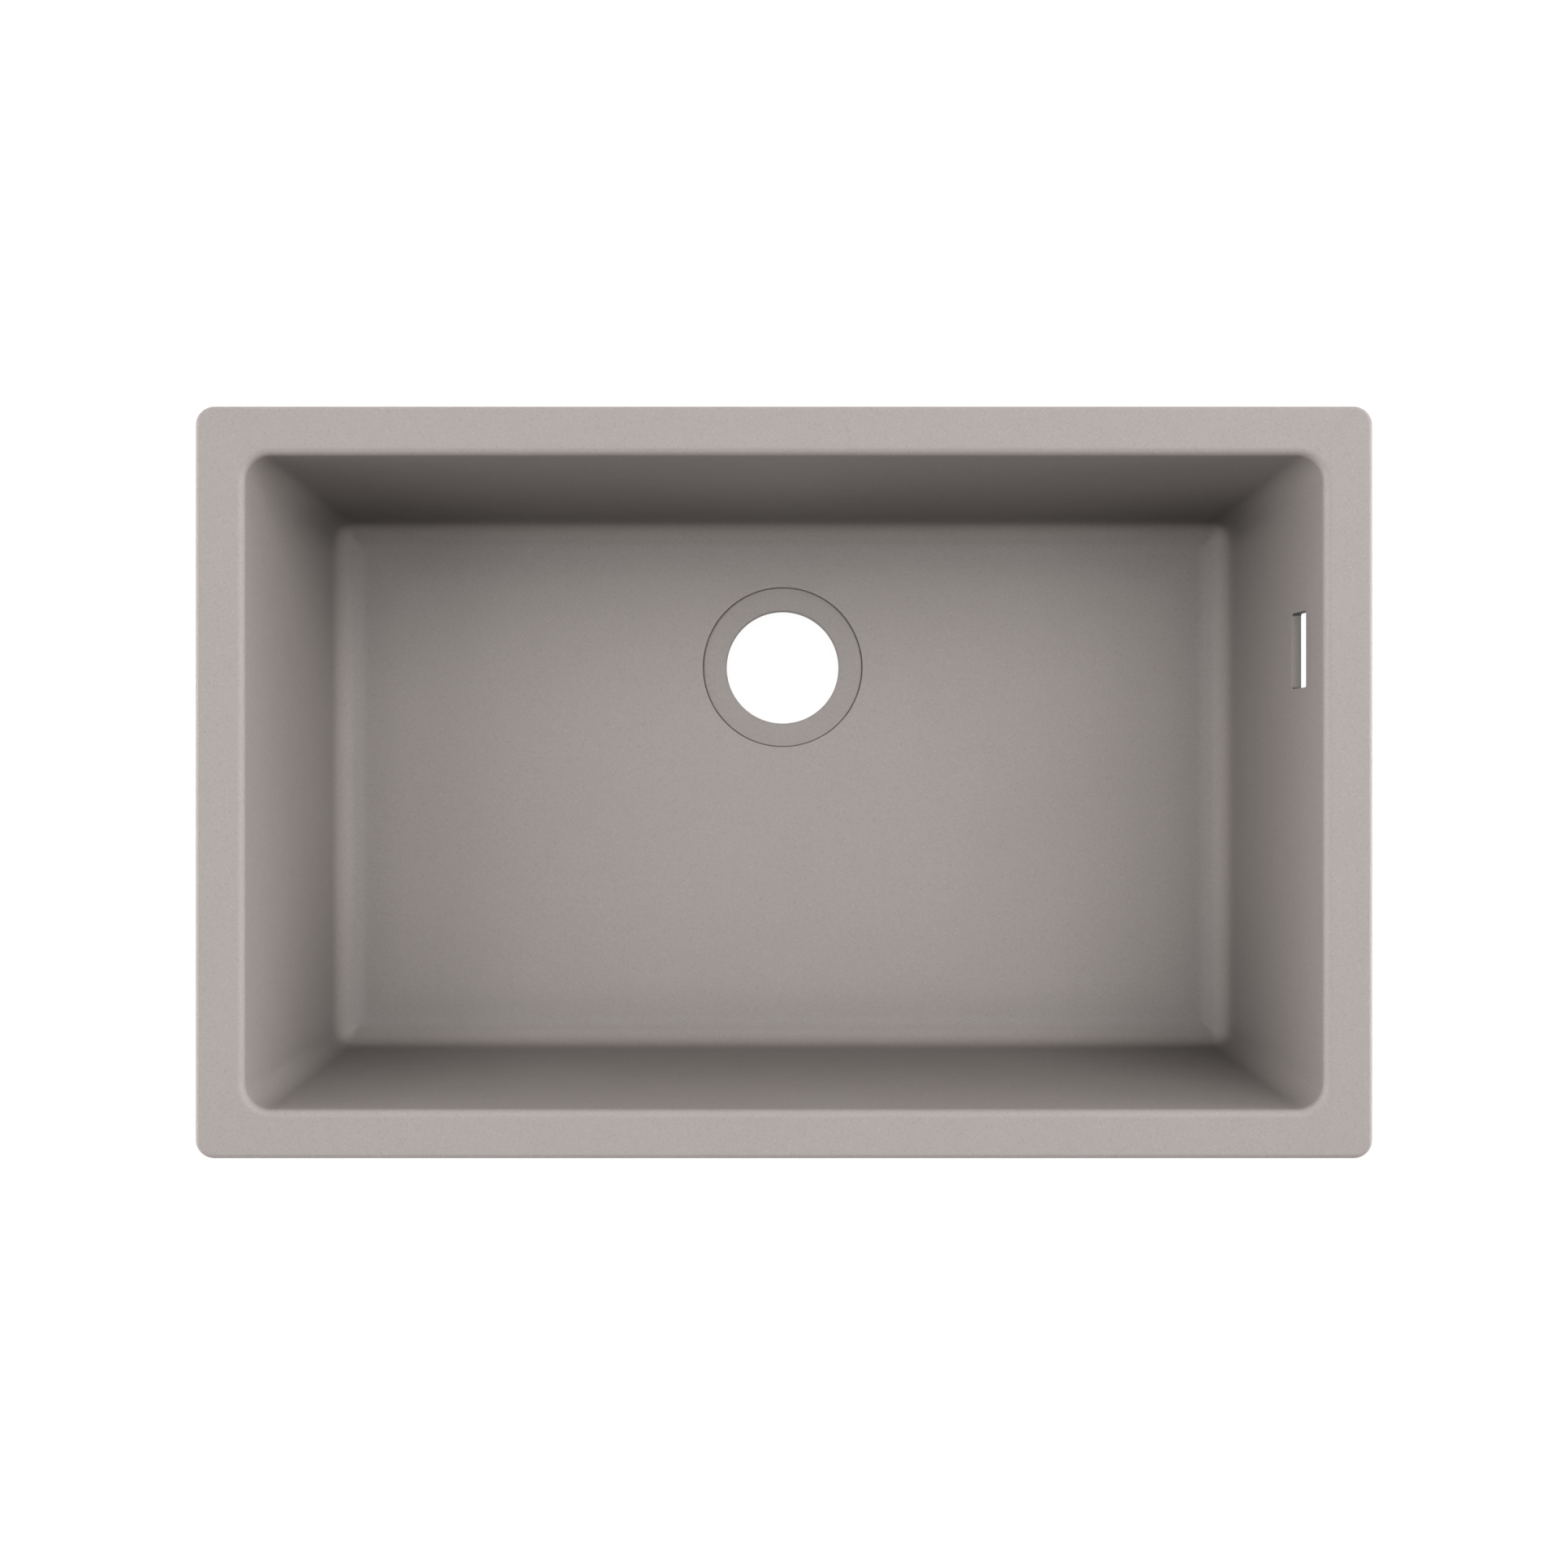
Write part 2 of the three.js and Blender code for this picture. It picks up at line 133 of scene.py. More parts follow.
def copied(piece, matrix):
    twin = linked(piece.name, piece.data.copy())
    twin.data.transform(matrix)
    return twin


# Replaces a piece's mesh with the result of its modifiers.
def settle(piece):
    bpy.context.view_layer.update()
    graph = bpy.context.evaluated_depsgraph_get()
    mesh = bpy.data.meshes.new_from_object(piece.evaluated_get(graph), depsgraph=graph)
    piece.modifiers.clear()
    piece.data = mesh
    mesh.name = piece.name


def combine(piece, other, operation):
    cut = piece.modifiers.new("combine", "BOOLEAN")
    cut.operation = operation
    cut.solver = "EXACT"
    cut.object = other
    cut.material_mode = "INDEX"
    settle(piece)
    bpy.data.objects.remove(other)


def setFaces(piece, index):
    for polygon in piece.data.polygons:
        polygon.material_index = index


def addNode(tree, kind, **values):
    node = tree.nodes.new(kind)
    for key, value in values.items():
        if key in node.inputs:
            feed(tree, node.inputs[key], value)
        else:
            setattr(node, key, value)
    return node


def maths(tree, operation, first, second=None, third=None):
    node = addNode(tree, "ShaderNodeMath", operation=operation)
    for socket, value in zip(node.inputs, (first, second, third)):
        feed(tree, socket, value)
    return node.outputs[0]


def feed(tree, socket, value):
    if isinstance(value, bpy.types.NodeSocket):
        tree.links.new(value, socket)
    elif value is not None:
        socket.default_value = value


def times(tree, first, second):
    return maths(tree, "MULTIPLY", first, second)


def spanned(tree, share, low, high):
    return maths(tree, "MULTIPLY_ADD", share, high - low, low)


def vectorMaths(tree, operation, first, second=None, **more):
    node = addNode(tree, "ShaderNodeVectorMath", operation=operation, **more)
    feed(tree, node.inputs[0], first)
    feed(tree, node.inputs[1], second)
    return node.outputs["Value" if operation == "LENGTH" else "Vector"]


def axes(tree, vector):
    return addNode(tree, "ShaderNodeSeparateXYZ", Vector=vector).outputs


def vectorOf(tree, **parts):
    return addNode(tree, "ShaderNodeCombineXYZ", **parts).outputs[0]


def mixed(tree, factor, first, second):
    node = addNode(tree, "ShaderNodeMix", data_type="RGBA", Factor=factor)
    feed(tree, node.inputs[6], first)
    feed(tree, node.inputs[7], second)
    return node.outputs[2]


# Nought at the first limit and one at the second, which may be the lower of the two.
def ramp(tree, value, start, end):
    node = addNode(tree, "ShaderNodeMapRange", interpolation_type="SMOOTHSTEP", Value=value)
    feed(tree, node.inputs["From Min"], start)
    feed(tree, node.inputs["From Max"], end)
    return node.outputs["Result"]


def noise(tree, vector, scale, detail=2.0, roughness=0.5):
    node = addNode(tree, "ShaderNodeTexNoise", Vector=vector, Scale=scale, Detail=detail, Roughness=roughness)
    return node.outputs["Fac"]


def newGroup(name, inputs, outputs, kind="Shader"):
    group = bpy.data.node_groups.new(name, kind + "NodeTree")
    for label, socketKind, value in inputs:
        socket = group.interface.new_socket(label, in_out="INPUT", socket_type="NodeSocket" + socketKind)
        if value is not None:
            socket.default_value = value
    for label, socketKind in outputs:
        group.interface.new_socket(label, in_out="OUTPUT", socket_type="NodeSocket" + socketKind)
    start = group.nodes.new("NodeGroupInput")
    end = group.nodes.new("NodeGroupOutput")
    return group, start.outputs, end.inputs


# Crushed quartz in resin: pale and dark grains of two sizes over a faint cloudiness.
def stoneGrainGroup():
    group, given, result = newGroup("stoneGrain", [
        ("Vector", "Vector", None), ("Base", "Color", (0.4, 0.4, 0.4, 1)), ("Coarse", "Float", 900),
        ("Fine", "Float", 2200), ("Contrast", "Float", 0.2), ("Cloud", "Float", 0.05),
    ], [("Color", "Color"), ("Height", "Float")])
    heights = []
    shades = []
    for label, dark, pale in (("Coarse", 0.12, 0.9), ("Fine", 0.2, 0.82)):
        cells = addNode(group, "ShaderNodeTexVoronoi", Vector=given["Vector"], Scale=given[label])
        pick = addNode(group, "ShaderNodeSeparateColor", Color=cells.outputs["Color"]).outputs["Red"]
        darker = ramp(group, pick, dark, dark * 0.4)
        paler = ramp(group, pick, pale, pale + 0.08)
        shades.append(maths(group, "SUBTRACT", paler, darker))
        heights.append(cells.outputs["Distance"])
    cloud = maths(group, "SUBTRACT", noise(group, given["Vector"], 14, 3), 0.5)
    speckle = maths(group, "MULTIPLY_ADD", shades[1], 0.7, shades[0])
    shade = times(group, speckle, given["Contrast"])
    shade = maths(group, "MULTIPLY_ADD", cloud, given["Cloud"], shade)
    shade = maths(group, "ADD", shade, 1)
    feed(group, result["Color"], vectorMaths(group, "SCALE", given["Base"], Scale=shade))
    feed(group, result["Height"], maths(group, "ADD", heights[0], heights[1]))
    return group


# Where handling has polished a surface or dust has settled: patches that fade in and out.
def patchesGroup():
    group, given, result = newGroup("patches", [
        ("Vector", "Vector", None), ("Scale", "Float", 30), ("Cover", "Float", 0.5), ("Softness", "Float", 0.2),
    ], [("Mask", "Float")])
    pattern = noise(group, given["Vector"], given["Scale"], 4, 0.6)
    low = maths(group, "SUBTRACT", 1, given["Cover"])
    feed(group, result["Mask"], ramp(group, pattern, low, maths(group, "ADD", low, given["Softness"])))
    return group


# Fine scratches along one direction of the vector that comes in.
def brushedGroup():
    group, given, result = newGroup("brushed", [
        ("Vector", "Vector", None), ("Scale", "Float", 400), ("Stretch", "Float", 0.03),
    ], [("Height", "Float")])
    factors = vectorOf(group, X=given["Stretch"], Y=1, Z=1)
    stretched = vectorMaths(group, "MULTIPLY", given["Vector"], factors)
    feed(group, result["Height"], noise(group, stretched, given["Scale"], 3, 0.7))
    return group


grain = stoneGrainGroup()
patches = patchesGroup()
brushed = brushedGroup()


def useGroup(tree, group, **values):
    node = tree.nodes.new("ShaderNodeGroup")
    node.node_tree = group
    for key, value in values.items():
        feed(tree, node.inputs[key], value)
    return node.outputs


def newMaterial(name, metallic=0.0):
    material = bpy.data.materials.new(name)
    material.use_nodes = True
    tree = material.node_tree
    shader = tree.nodes["Principled BSDF"]
    shader.inputs["Metallic"].default_value = metallic
    shader.inputs["IOR"].default_value = 1.5
    return material, tree, tree.nodes.new("ShaderNodeTexCoord").outputs["Object"]


def finished(material, colour, rough, height, look):
    tree = material.node_tree
    strength, distance = look["bump"]
    normal = addNode(tree, "ShaderNodeBump", Strength=strength, Distance=distance, Height=height).outputs[0]
    for label, value in (("Base Color", colour), ("Roughness", rough), ("Normal", normal)):
        feed(tree, tree.nodes["Principled BSDF"].inputs[label], value)
    return material


# Adds patches of a second colour. Their mask comes back as well, for they differ in roughness too.
def patched(tree, where, look, colour):
    mask = useGroup(tree, patches, Vector=where, **look["patches"])["Mask"]
    return mask, mixed(tree, times(tree, mask, look["cover"]), colour, look["patchColour"])


compositeLook = {
    "stone": {"Base": (0.1647, 0.1477, 0.1388, 1), "Coarse": 1100, "Fine": 2600, "Contrast": 0.1, "Cloud": 0.035},
    "patches": {"Scale": 9.0, "Cover": 0.46, "Softness": 0.25},
    "patchColour": (0.30, 0.29, 0.28, 1),
    "cover": 0.05,
    "roughness": (0.60, 0.70),
    "roughPattern": (60, 4, 0.6),
    "polish": 0.08,
    "rimPolish": -0.04,
    "rimHeight": (0.196, 0.2),
    "bump": (0.12, 0.00006),
}


# Painted shade and painted light on the bowl: how much paler or darker each kind makes it, and, in metres from the
# part's origin, the limits between which it sets in. A foot is the low part of a wall that faces along one axis.
paintedShadeAndLightPlan = {
    "cornerShade": 0.26,
    "cornerShadeCentre": (0.32, 0.19),
    "cornerShadeReach": (0.17, 0.0),
    "cornerShadeHeight": (0.21, 0.02),
    "cornerShadeOnFloor": 0.6,
    "centreLight": 0.09,
    "centreLightAlong": ((0.33, 0.05), (0.19, 0.02)),
    "aboveSeat": (0.0104, 0.0118),
    "marginShade": 0.09,
    "marginShadeAlong": ((0.262, 0.292), (0.134, 0.164)),
    "onFloor": (0.0185, 0.0165),
    "filletHighlight": 0.12,
    "filletHighlightHeights": ((0.0165, 0.0205), (0.031, 0.024)),
    "footShadeHeights": ((0.02, 0.03), (0.15, 0.03)),
    "footShade": (("Y", (0.16, 0.185), 0.33), ("Y", (-0.16, -0.185), 0.17), ("X", (0.28, 0.305), 0.05)),
    "lipHighlight": 0.1,
    "lipHighlightHeight": (0.1965, 0.1995),
    "rimHeight": (0.2012, 0.2019),
    "lipHighlightOnRim": 0.3,
}


# How much of its colour each spot of the bowl keeps. Painted shade darkens it low in the corners, at the foot of
# the long walls and along the floor's margin; painted light makes it paler in the middle, on the fillet and on the
# lip.
def paintedShadeAndLightShare(tree, where):
    plan = paintedShadeAndLightPlan
    place = axes(tree, where)
    height = place["Z"]
    away = [maths(tree, "ABSOLUTE", place[axis]) for axis in "XY"]

    def both(value, pair):
        first, second = value if isinstance(value, list) else (value, value)
        return ramp(tree, first, *pair[0]), ramp(tree, second, *pair[1])

    # Painted shade: darker low in the corners, less so on the floor.
    short = [maths(tree, "MAXIMUM", maths(tree, "SUBTRACT", half, far), 0)
             for half, far in zip(plan["cornerShadeCentre"], away)]
    reach = vectorMaths(tree, "LENGTH", vectorOf(tree, X=short[0], Y=short[1]))
    low = ramp(tree, height, *plan["cornerShadeHeight"])
    onFloor = ramp(tree, height, *plan["onFloor"])
    floorCornerShade = spanned(tree, onFloor, 1, plan["cornerShadeOnFloor"])
    cornerShade = times(tree, times(tree, ramp(tree, reach, *plan["cornerShadeReach"]), low), floorCornerShade)
    # Painted light: paler in the middle of the floor, above the drain seat.
    centreLight = times(tree, times(tree, *both(away, plan["centreLightAlong"])), ramp(tree, height, *plan["aboveSeat"]))
    # Painted shade: darker along the floor's margin.
    marginShade = times(tree, maths(tree, "MAXIMUM", *both(away, plan["marginShadeAlong"])), onFloor)
    # Painted highlight: a paler band along the fillet.
    filletHighlight = times(tree, *both(height, plan["filletHighlightHeights"]))
    # Painted highlight: paler on the lip, less so on the rim's top.
    onRim = spanned(tree, ramp(tree, height, *plan["rimHeight"]), 1, plan["lipHighlightOnRim"])
    lipHighlight = times(tree, ramp(tree, height, *plan["lipHighlightHeight"]), onRim)
    kinds = [(cornerShade, -plan["cornerShade"]), (times(tree, centreLight, low), plan["centreLight"]), (marginShade, -plan["marginShade"]),
             (filletHighlight, plan["filletHighlight"]), (lipHighlight, plan["lipHighlight"])]
    # Painted shade: darker at the foot of the walls.
    inFootShade = times(tree, *both(height, plan["footShadeHeights"]))
    for axis, limits, amount in plan["footShade"]:
        kinds.append((times(tree, ramp(tree, place[axis], *limits), inFootShade), -amount))
    share = 1
    for mask, amount in kinds:
        share = maths(tree, "MULTIPLY_ADD", mask, amount, share)
    return share


# Painted shade in the overflow window, as shares of the colour lost at its near side, at its far side and at its
# two ends.
overflowShadePlan = {
    "near": 0.2,
    "far": 0.5,
    "ends": 0.85,
    "through": (0, 0.006),
    "begins": (0.0001, 0.0003),
    "belowRim": (0.19, 0.18),
    "fromEnds": (0.0025, 0.0003),
}


# Darkens the overflow window's sill and ends with painted shade.
def paintedOverflowShade(tree, where):
    plan = overflowShadePlan
    place = axes(tree, where)
    base = (bowlForm["opening"][0] / 2 + wallOutward(0)) * mm
    lean = maths(tree, "MULTIPLY_ADD", place["Z"], tan(bowlForm["draft"]), base)
    depth = maths(tree, "SUBTRACT", place["X"], lean)
    within = times(tree, ramp(tree, depth, *plan["begins"]), ramp(tree, place["Z"], *plan["belowRim"]))
    aside = maths(tree, "ABSOLUTE", maths(tree, "SUBTRACT", place["Y"], overflowForm["y"] * mm))
    reach = overflowForm["window"][0] / 2 * mm
    sill = spanned(tree, ramp(tree, depth, *plan["through"]), plan["near"], plan["far"])
    ends = times(tree, ramp(tree, aside, *(reach - inset for inset in plan["fromEnds"])), plan["ends"])
    return times(tree, maths(tree, "MAXIMUM", sill, ends), within)


# The face that is moulded against the polished half of the tool.
def compositeFront():
    look = compositeLook
    material, tree, where = newMaterial("compositeFront")
    stone = useGroup(tree, grain, Vector=where, **look["stone"])
    film, colour = patched(tree, where, look, stone["Color"])
    # The colour is darkened and lightened by painted shade and painted light on the bowl and in the overflow
    # window.
    paintedShading = times(tree, paintedShadeAndLightShare(tree, where), maths(tree, "SUBTRACT", 1, paintedOverflowShade(tree, where)))
    rough = spanned(tree, noise(tree, where, *look["roughPattern"]), *look["roughness"])
    handled = ramp(tree, axes(tree, where)["Z"], *look["rimHeight"])
    rough = maths(tree, "MULTIPLY_ADD", handled, look["rimPolish"], rough)
    rough = maths(tree, "MULTIPLY_ADD", film, look["polish"], rough)
    return finished(material, vectorMaths(tree, "SCALE", colour, Scale=paintedShading), rough, stone["Height"], look)


compositeBackLook = {
    "stone": {"Base": (0.146, 0.1315, 0.1245, 1), "Coarse": 700, "Fine": 1800, "Contrast": 0.2, "Cloud": 0.22},
    "patches": {"Scale": 16.0, "Cover": 0.5, "Softness": 0.3},
    "patchColour": (0.26, 0.245, 0.235, 1),
    "cover": 0.16,
    "roughness": (0.7, 0.88),
    "pitting": (260, 3, 0.6),
    "pitDepth": 1.6,
    "bump": (0.35, 0.0002),
}


# The back, which shows the rougher half of the tool and a little resin bloom.
def compositeBack():
    look = compositeBackLook
    material, tree, where = newMaterial("compositeBack")
    stone = useGroup(tree, grain, Vector=where, **look["stone"])
    bloom, colour = patched(tree, where, look, stone["Color"])
    pits = maths(tree, "MULTIPLY_ADD", noise(tree, where, *look["pitting"]), look["pitDepth"], stone["Height"])
    return finished(material, colour, spanned(tree, bloom, *look["roughness"]), pits, look)


def localPlace(tree):
    return addNode(tree, "ShaderNodeUVMap", uv_map="local").outputs["UV"]


# Rings round a turned piece's own axis, as a lathe or a punch leaves them.
def ringPattern(tree, scale):
    line = vectorOf(tree, Y=vectorMaths(tree, "LENGTH", localPlace(tree)))
    return useGroup(tree, brushed, Vector=line, Scale=scale, Stretch=1.0)["Height"]


# In each look the roughness is that of a clean spot and that of a patch.
zincLook = {
    "bright": (0.36, 0.366, 0.378, 1),
    "warm": (0.372, 0.348, 0.294, 1),
    "cool": (0.3, 0.336, 0.396, 1),
    "tint": (45, 2),
    "warmTint": (0.5, 0.72),
    "coolTint": (0.48, 0.28),
    "patches": {"Scale": 120.0, "Cover": 0.5, "Softness": 0.3},
    "patchColour": (0.22, 0.22, 0.22, 1),
    "cover": 0.3,
    "roughness": (0.42, 0.62),
    "streaks": {"Scale": 2600.0, "Stretch": 0.04},
    "bump": (0.12, 0.00005),
}
stainlessLook = {
    "bright": (0.4, 0.394, 0.388, 1),
    "patches": {"Scale": 260.0, "Cover": 0.42, "Softness": 0.3},
    "patchColour": (0.24, 0.234, 0.228, 1),
    "cover": 0.25,
    "roughness": (0.32, 0.47),
    "roughRings": 0.16,
    "rings": 4200.0,
    "bump": (0.1, 0.00004),
}
brassLook = {
    "bright": (0.70, 0.52, 0.24, 1),
    "patches": {"Scale": 300.0, "Cover": 0.5, "Softness": 0.3},
    "patchColour": (0.36, 0.24, 0.11, 1),
    "cover": 0.6,
    "roughness": (0.25, 0.5),
    "roughRings": 0,
    "rings": 3600.0,
    "bump": (0.1, 0.00004),
}
fibreLook = {
    "dark": (0.016, 0.015, 0.015, 1),
    "pale": (0.05, 0.047, 0.045, 1),
    "fuzz": (2400, 4, 0.7),
    "roughness": (0.75, 0.9),
    "bump": (0.3, 0.00008),
}


def zincSteel():
    look = zincLook
    material, tree, where = newMaterial("zincSteel", metallic=1.0)
    tint = noise(tree, where, *look["tint"])
    colour = mixed(tree, ramp(tree, tint, *look["warmTint"]), look["bright"], look["warm"])
    colour = mixed(tree, ramp(tree, tint, *look["coolTint"]), colour, look["cool"])
    dull, colour = patched(tree, where, look, colour)
    streaks = useGroup(tree, brushed, Vector=localPlace(tree), **look["streaks"])["Height"]
    return finished(material, colour, spanned(tree, dull, *look["roughness"]), streaks, look)


def turnedMetal(name, look):
    material, tree, where = newMaterial(name, metallic=1.0)
    marks = ringPattern(tree, look["rings"])
    tarnish, colour = patched(tree, where, look, look["bright"])
    rough = spanned(tree, tarnish, *look["roughness"])
    rough = maths(tree, "MULTIPLY_ADD", marks, look["roughRings"], rough)
    return finished(material, colour, rough, marks, look)


def fibre():
    look = fibreLook
    material, tree, where = newMaterial("fibre")
    fuzz = noise(tree, where, *look["fuzz"])
    colour = mixed(tree, fuzz, look["dark"], look["pale"])
    return finished(material, colour, spanned(tree, fuzz, *look["roughness"]), fuzz, look)


# All forms are in millimetres. A section is a level slice: half length, half width, corner radius and height.
bowlForm = {
    "rim": (720, 460),
    "rimThickness": 10,
    "rimCorner": 11.5,
    "rimEdge": 3,
    "rimUnderEdge": 1.5,
    "opening": (660, 400),
    "lip": 5,
    "cornerTop": 16,
    "cornerBase": 12,
    "floorCorner": 3,
    "top": 202,
    "floorAtWall": 15,
    "floorAtDrain": 12,
    "seatFloor": 10,
    "fillet": 22,
    "draft": radians(5.6),
    "wall": 8,
    "floor": 9,
    "underFillet": 6,
    "drain": (0, 83),
    "hole": 39.8,
    "seat": 56.5,
    "seatRound": 0.3,
    "seatGroove": (0.6, 1.4),
    "holeRound": 0.8,
    "boss": 63,
    "rimStep": 0.6,
    "seatRim": 0.8,
    "cornerSteps": 16,
    "drainStep": radians(2.5),
    "floorRings": 10,
}
underRim = bowlForm["top"] - bowlForm["rimThickness"]


def wallOutward(z):
    form = bowlForm
    topZ = form["top"] - form["lip"] * (1 - sin(form["draft"]))
    topOut = form["lip"] * (1 - cos(form["draft"]))
    return topOut - (topZ - z) * tan(form["draft"])


def cornerAt(z):
    form = bowlForm
    share = (z - form["floorAtWall"]) / (form["top"] - form["floorAtWall"])
    return form["cornerBase"] + (form["cornerTop"] - form["cornerBase"]) * share


def bowlSection(outward, radius, z):
    x, y = bowlForm["opening"]
    return (x / 2 + outward, y / 2 + outward, radius, z)


def rimSection(inward, z):
    x, y = bowlForm["rim"]
    return (x / 2 - inward, y / 2 - inward, bowlForm["rimCorner"] - inward, z)


def wallSection(z, extra=0.0):
    return bowlSection(wallOutward(z) + extra, cornerAt(z) + (bowlForm["wall"] if extra else 0), z)


def innerSections():
    form = bowlForm
    filletZ = form["floorAtWall"] + form["fillet"]
    endZ = filletZ - form["fillet"] * sin(form["draft"])
    centre = (wallOutward(endZ) - form["fillet"] * cos(form["draft"]), filletZ)
    sections = []
    for outward, z in arc(centre, form["fillet"], -pi / 2, -form["draft"], 16):
        radius = max(form["floorCorner"], cornerAt(z) - (wallOutward(z) - outward))
        sections.append(bowlSection(outward, radius, z))
    lipZ = form["top"] - form["lip"]
    wallTop = lipZ + form["lip"] * sin(form["draft"])
    steps = 10
    for i in range(1, steps):
        share = 0.5 - 0.5 * cos(pi * i / steps)
        sections.append(wallSection(endZ + (wallTop - endZ) * share))
    for outward, z in arc((form["lip"], lipZ), form["lip"], pi - form["draft"], pi / 2, 12):
        sections.append(bowlSection(outward, form["cornerTop"] + outward, z))
    flat = form["lip"] + form["rimStep"]
    sections.append(bowlSection(flat, form["cornerTop"] + flat, form["top"]))
    return sections


def rimSections():
    form = bowlForm
    edge = form["rimEdge"]
    low = form["rimUnderEdge"]
    sections = [rimSection(edge + form["rimStep"], form["top"])]
    sections += [rimSection(*p) for p in arc((edge, form["top"] - edge), edge, pi / 2, pi, 10)]
    sections += [rimSection(*p) for p in arc((low, underRim + low), low, pi, 1.5 * pi, 6)]
    sections.append(rimSection(low + 0.5, underRim))
    return sections


def outerSections():
    form = bowlForm
    across = form["wall"] / cos(form["draft"])
    fillet = form["underFillet"]
    topZ = underRim - fillet * (1 - sin(form["draft"]))
    centre = (wallOutward(topZ) + across + fillet * cos(form["draft"]), underRim - fillet)
    sections = []
    for outward, z in arc(centre, fillet, pi / 2, pi - form["draft"], 10):
        radius = cornerAt(z) + form["wall"] + outward - wallOutward(z) - across
        sections.append(bowlSection(outward, radius, z))
    baseRadius = form["fillet"] + form["wall"]
    centreZ = form["floorAtWall"] - form["floor"] + baseRadius
    wallEnd = centreZ - baseRadius * sin(form["draft"])
    steps = 10
    for i in range(1, steps):
        share = 0.5 - 0.5 * cos(pi * i / steps)
        sections.append(wallSection(topZ + (wallEnd - topZ) * share, across))
    centre = (wallOutward(wallEnd) + across - baseRadius * cos(form["draft"]), centreZ)
    for outward, z in arc(centre, baseRadius, -form["draft"], -pi / 2, 14):
        inward = wallOutward(z) + across - outward
        sections.append(bowlSection(outward, max(form["floorCorner"], cornerAt(z) + form["wall"] - inward), z))
    return sections


# Shares of each straight side at which the lofted lines run, so that they fan out evenly round the drain.
def sideShares(section):
    halfX, halfY, radius, _ = section
    cx, cy = bowlForm["drain"]
    ends = [
        ((halfX, radius - halfY), (halfX, halfY - radius)),
        ((halfX - radius, halfY), (radius - halfX, halfY)),
        ((-halfX, halfY - radius), (-halfX, radius - halfY)),
        ((radius - halfX, -halfY), (halfX - radius, -halfY)),
    ]
    shares = []
    for start, end in ends:
        first = atan2(start[1] - cy, start[0] - cx)
        turn = (atan2(end[1] - cy, end[0] - cx) - first) % (2 * pi)
        steps = round(turn / bowlForm["drainStep"])
        side = []
        for i in range(1, steps):
            angle = first + turn * i / steps
            dx, dy = end[0] - start[0], end[1] - start[1]
            rx, ry = cx - start[0], cy - start[1]
            side.append((ry * cos(angle) - rx * sin(angle)) / (dy * cos(angle) - dx * sin(angle)))
        shares.append(side)
    return shares


def sectionPoints(section, shares):
    halfX, halfY, radius, z = section
    steps = bowlForm["cornerSteps"]
    centres = [(sx * (halfX - radius), sy * (halfY - radius)) for sx, sy in ((1, 1), (-1, 1), (-1, -1), (1, -1))]
    points = []
    for corner, centre in enumerate(centres):
        before = centres[corner - 1]
        start = corner * pi / 2
        dx, dy = radius * cos(start), radius * sin(start)
        for share in shares[corner]:
            points.append((before[0] + (centre[0] - before[0]) * share + dx,
                           before[1] + (centre[1] - before[1]) * share + dy, z))
        for i in range(steps + 1):
            angle = start + i * pi / 2 / steps
            points.append((centre[0] + radius * cos(angle), centre[1] + radius * sin(angle), z))
    return points


def drainRing(radius, z, guide):
    cx, cy = bowlForm["drain"]
    angles = [atan2(y - cy, x - cx) for x, y, _ in guide]
    return [(cx + radius * cos(a), cy + radius * sin(a), z) for a in angles]


def between(first, second, share, z):
    return [(a[0] + (b[0] - a[0]) * share, a[1] + (b[1] - a[1]) * share, z) for a, b in zip(first, second)]


def bowlSkin():
    form = bowlForm
    inner = innerSections()
    shares = sideShares(inner[0])
    front = [sectionPoints(s, shares) for s in inner + rimSections()[:11]]
    back = [sectionPoints(s, shares) for s in rimSections()[11:] + outerSections()]
    guide = front[0]
    edge = form["seatRound"]
    wide, deep = form["seatGroove"]
    hole = form["holeRound"]
    seat = form["seatFloor"]
    top = form["floorAtDrain"]
    drain = arc((form["hole"] + hole, seat - hole), hole, pi, pi / 2, 5)
    drain += arc((form["seat"] - wide - edge, seat - edge), edge, pi / 2, 0, 4)
    drain += [(form["seat"] - wide, seat - deep), (form["seat"], seat - deep)]
    drain += arc((form["seat"] + edge, top - edge), edge, pi, pi / 2, 4)
    rings = [drainRing(radius, z, guide) for radius, z in drain]
    outerCircle = drainRing(form["seat"] + form["seatRim"], top, guide)
    rings.append(outerCircle)
    # The floor rises steadily from the seat and levels out before the fillet.
    rise = form["floorAtWall"] - top
    for i in range(1, form["floorRings"]):
        share = i / form["floorRings"]
        rings.append(between(outerCircle, guide, share, top + rise * (1.25 * share - 0.25 * share ** 5)))
    frontCount = len(rings) + len(front)
    rings += front + back
    bossTop = top - form["floor"]
    low = back[-1]
    boss = form["boss"]
    foot = drainRing(boss + bossTop + 1, bossTop, guide)
    rings += [between(low, foot, 0.01, form["floorAtWall"] - form["floor"]), between(low, foot, 0.99, bossTop)]
    under = [(boss + bossTop + 0.4, bossTop), (boss + 0.6, 0.4), (boss + 0.3, 0.12), (boss - 0.3, 0)]
    under += [(form["hole"] + out, z) for out, z in ((1.2, 0), (1, 0), (0.2, 0.7), (0, 1), (0, 1.3))]
    rings += [drainRing(radius, z, guide) for radius, z in under]
    count = len(guide)
    vertices = [p for ring in rings for p in ring]
    faces = ringFaces(len(rings), count, closed=True)
    skin = newPiece("bowl_shell", vertices, faces)
    last = len(rings) - 1
    for polygon in skin.data.polygons:
        k = min(v // count for v in polygon.vertices)
        wraps = max(v // count for v in polygon.vertices) == last and k == 0
        polygon.material_index = 0 if k < frontCount - 1 or wraps else 1
    faceOutwards(skin.data)
    return skin


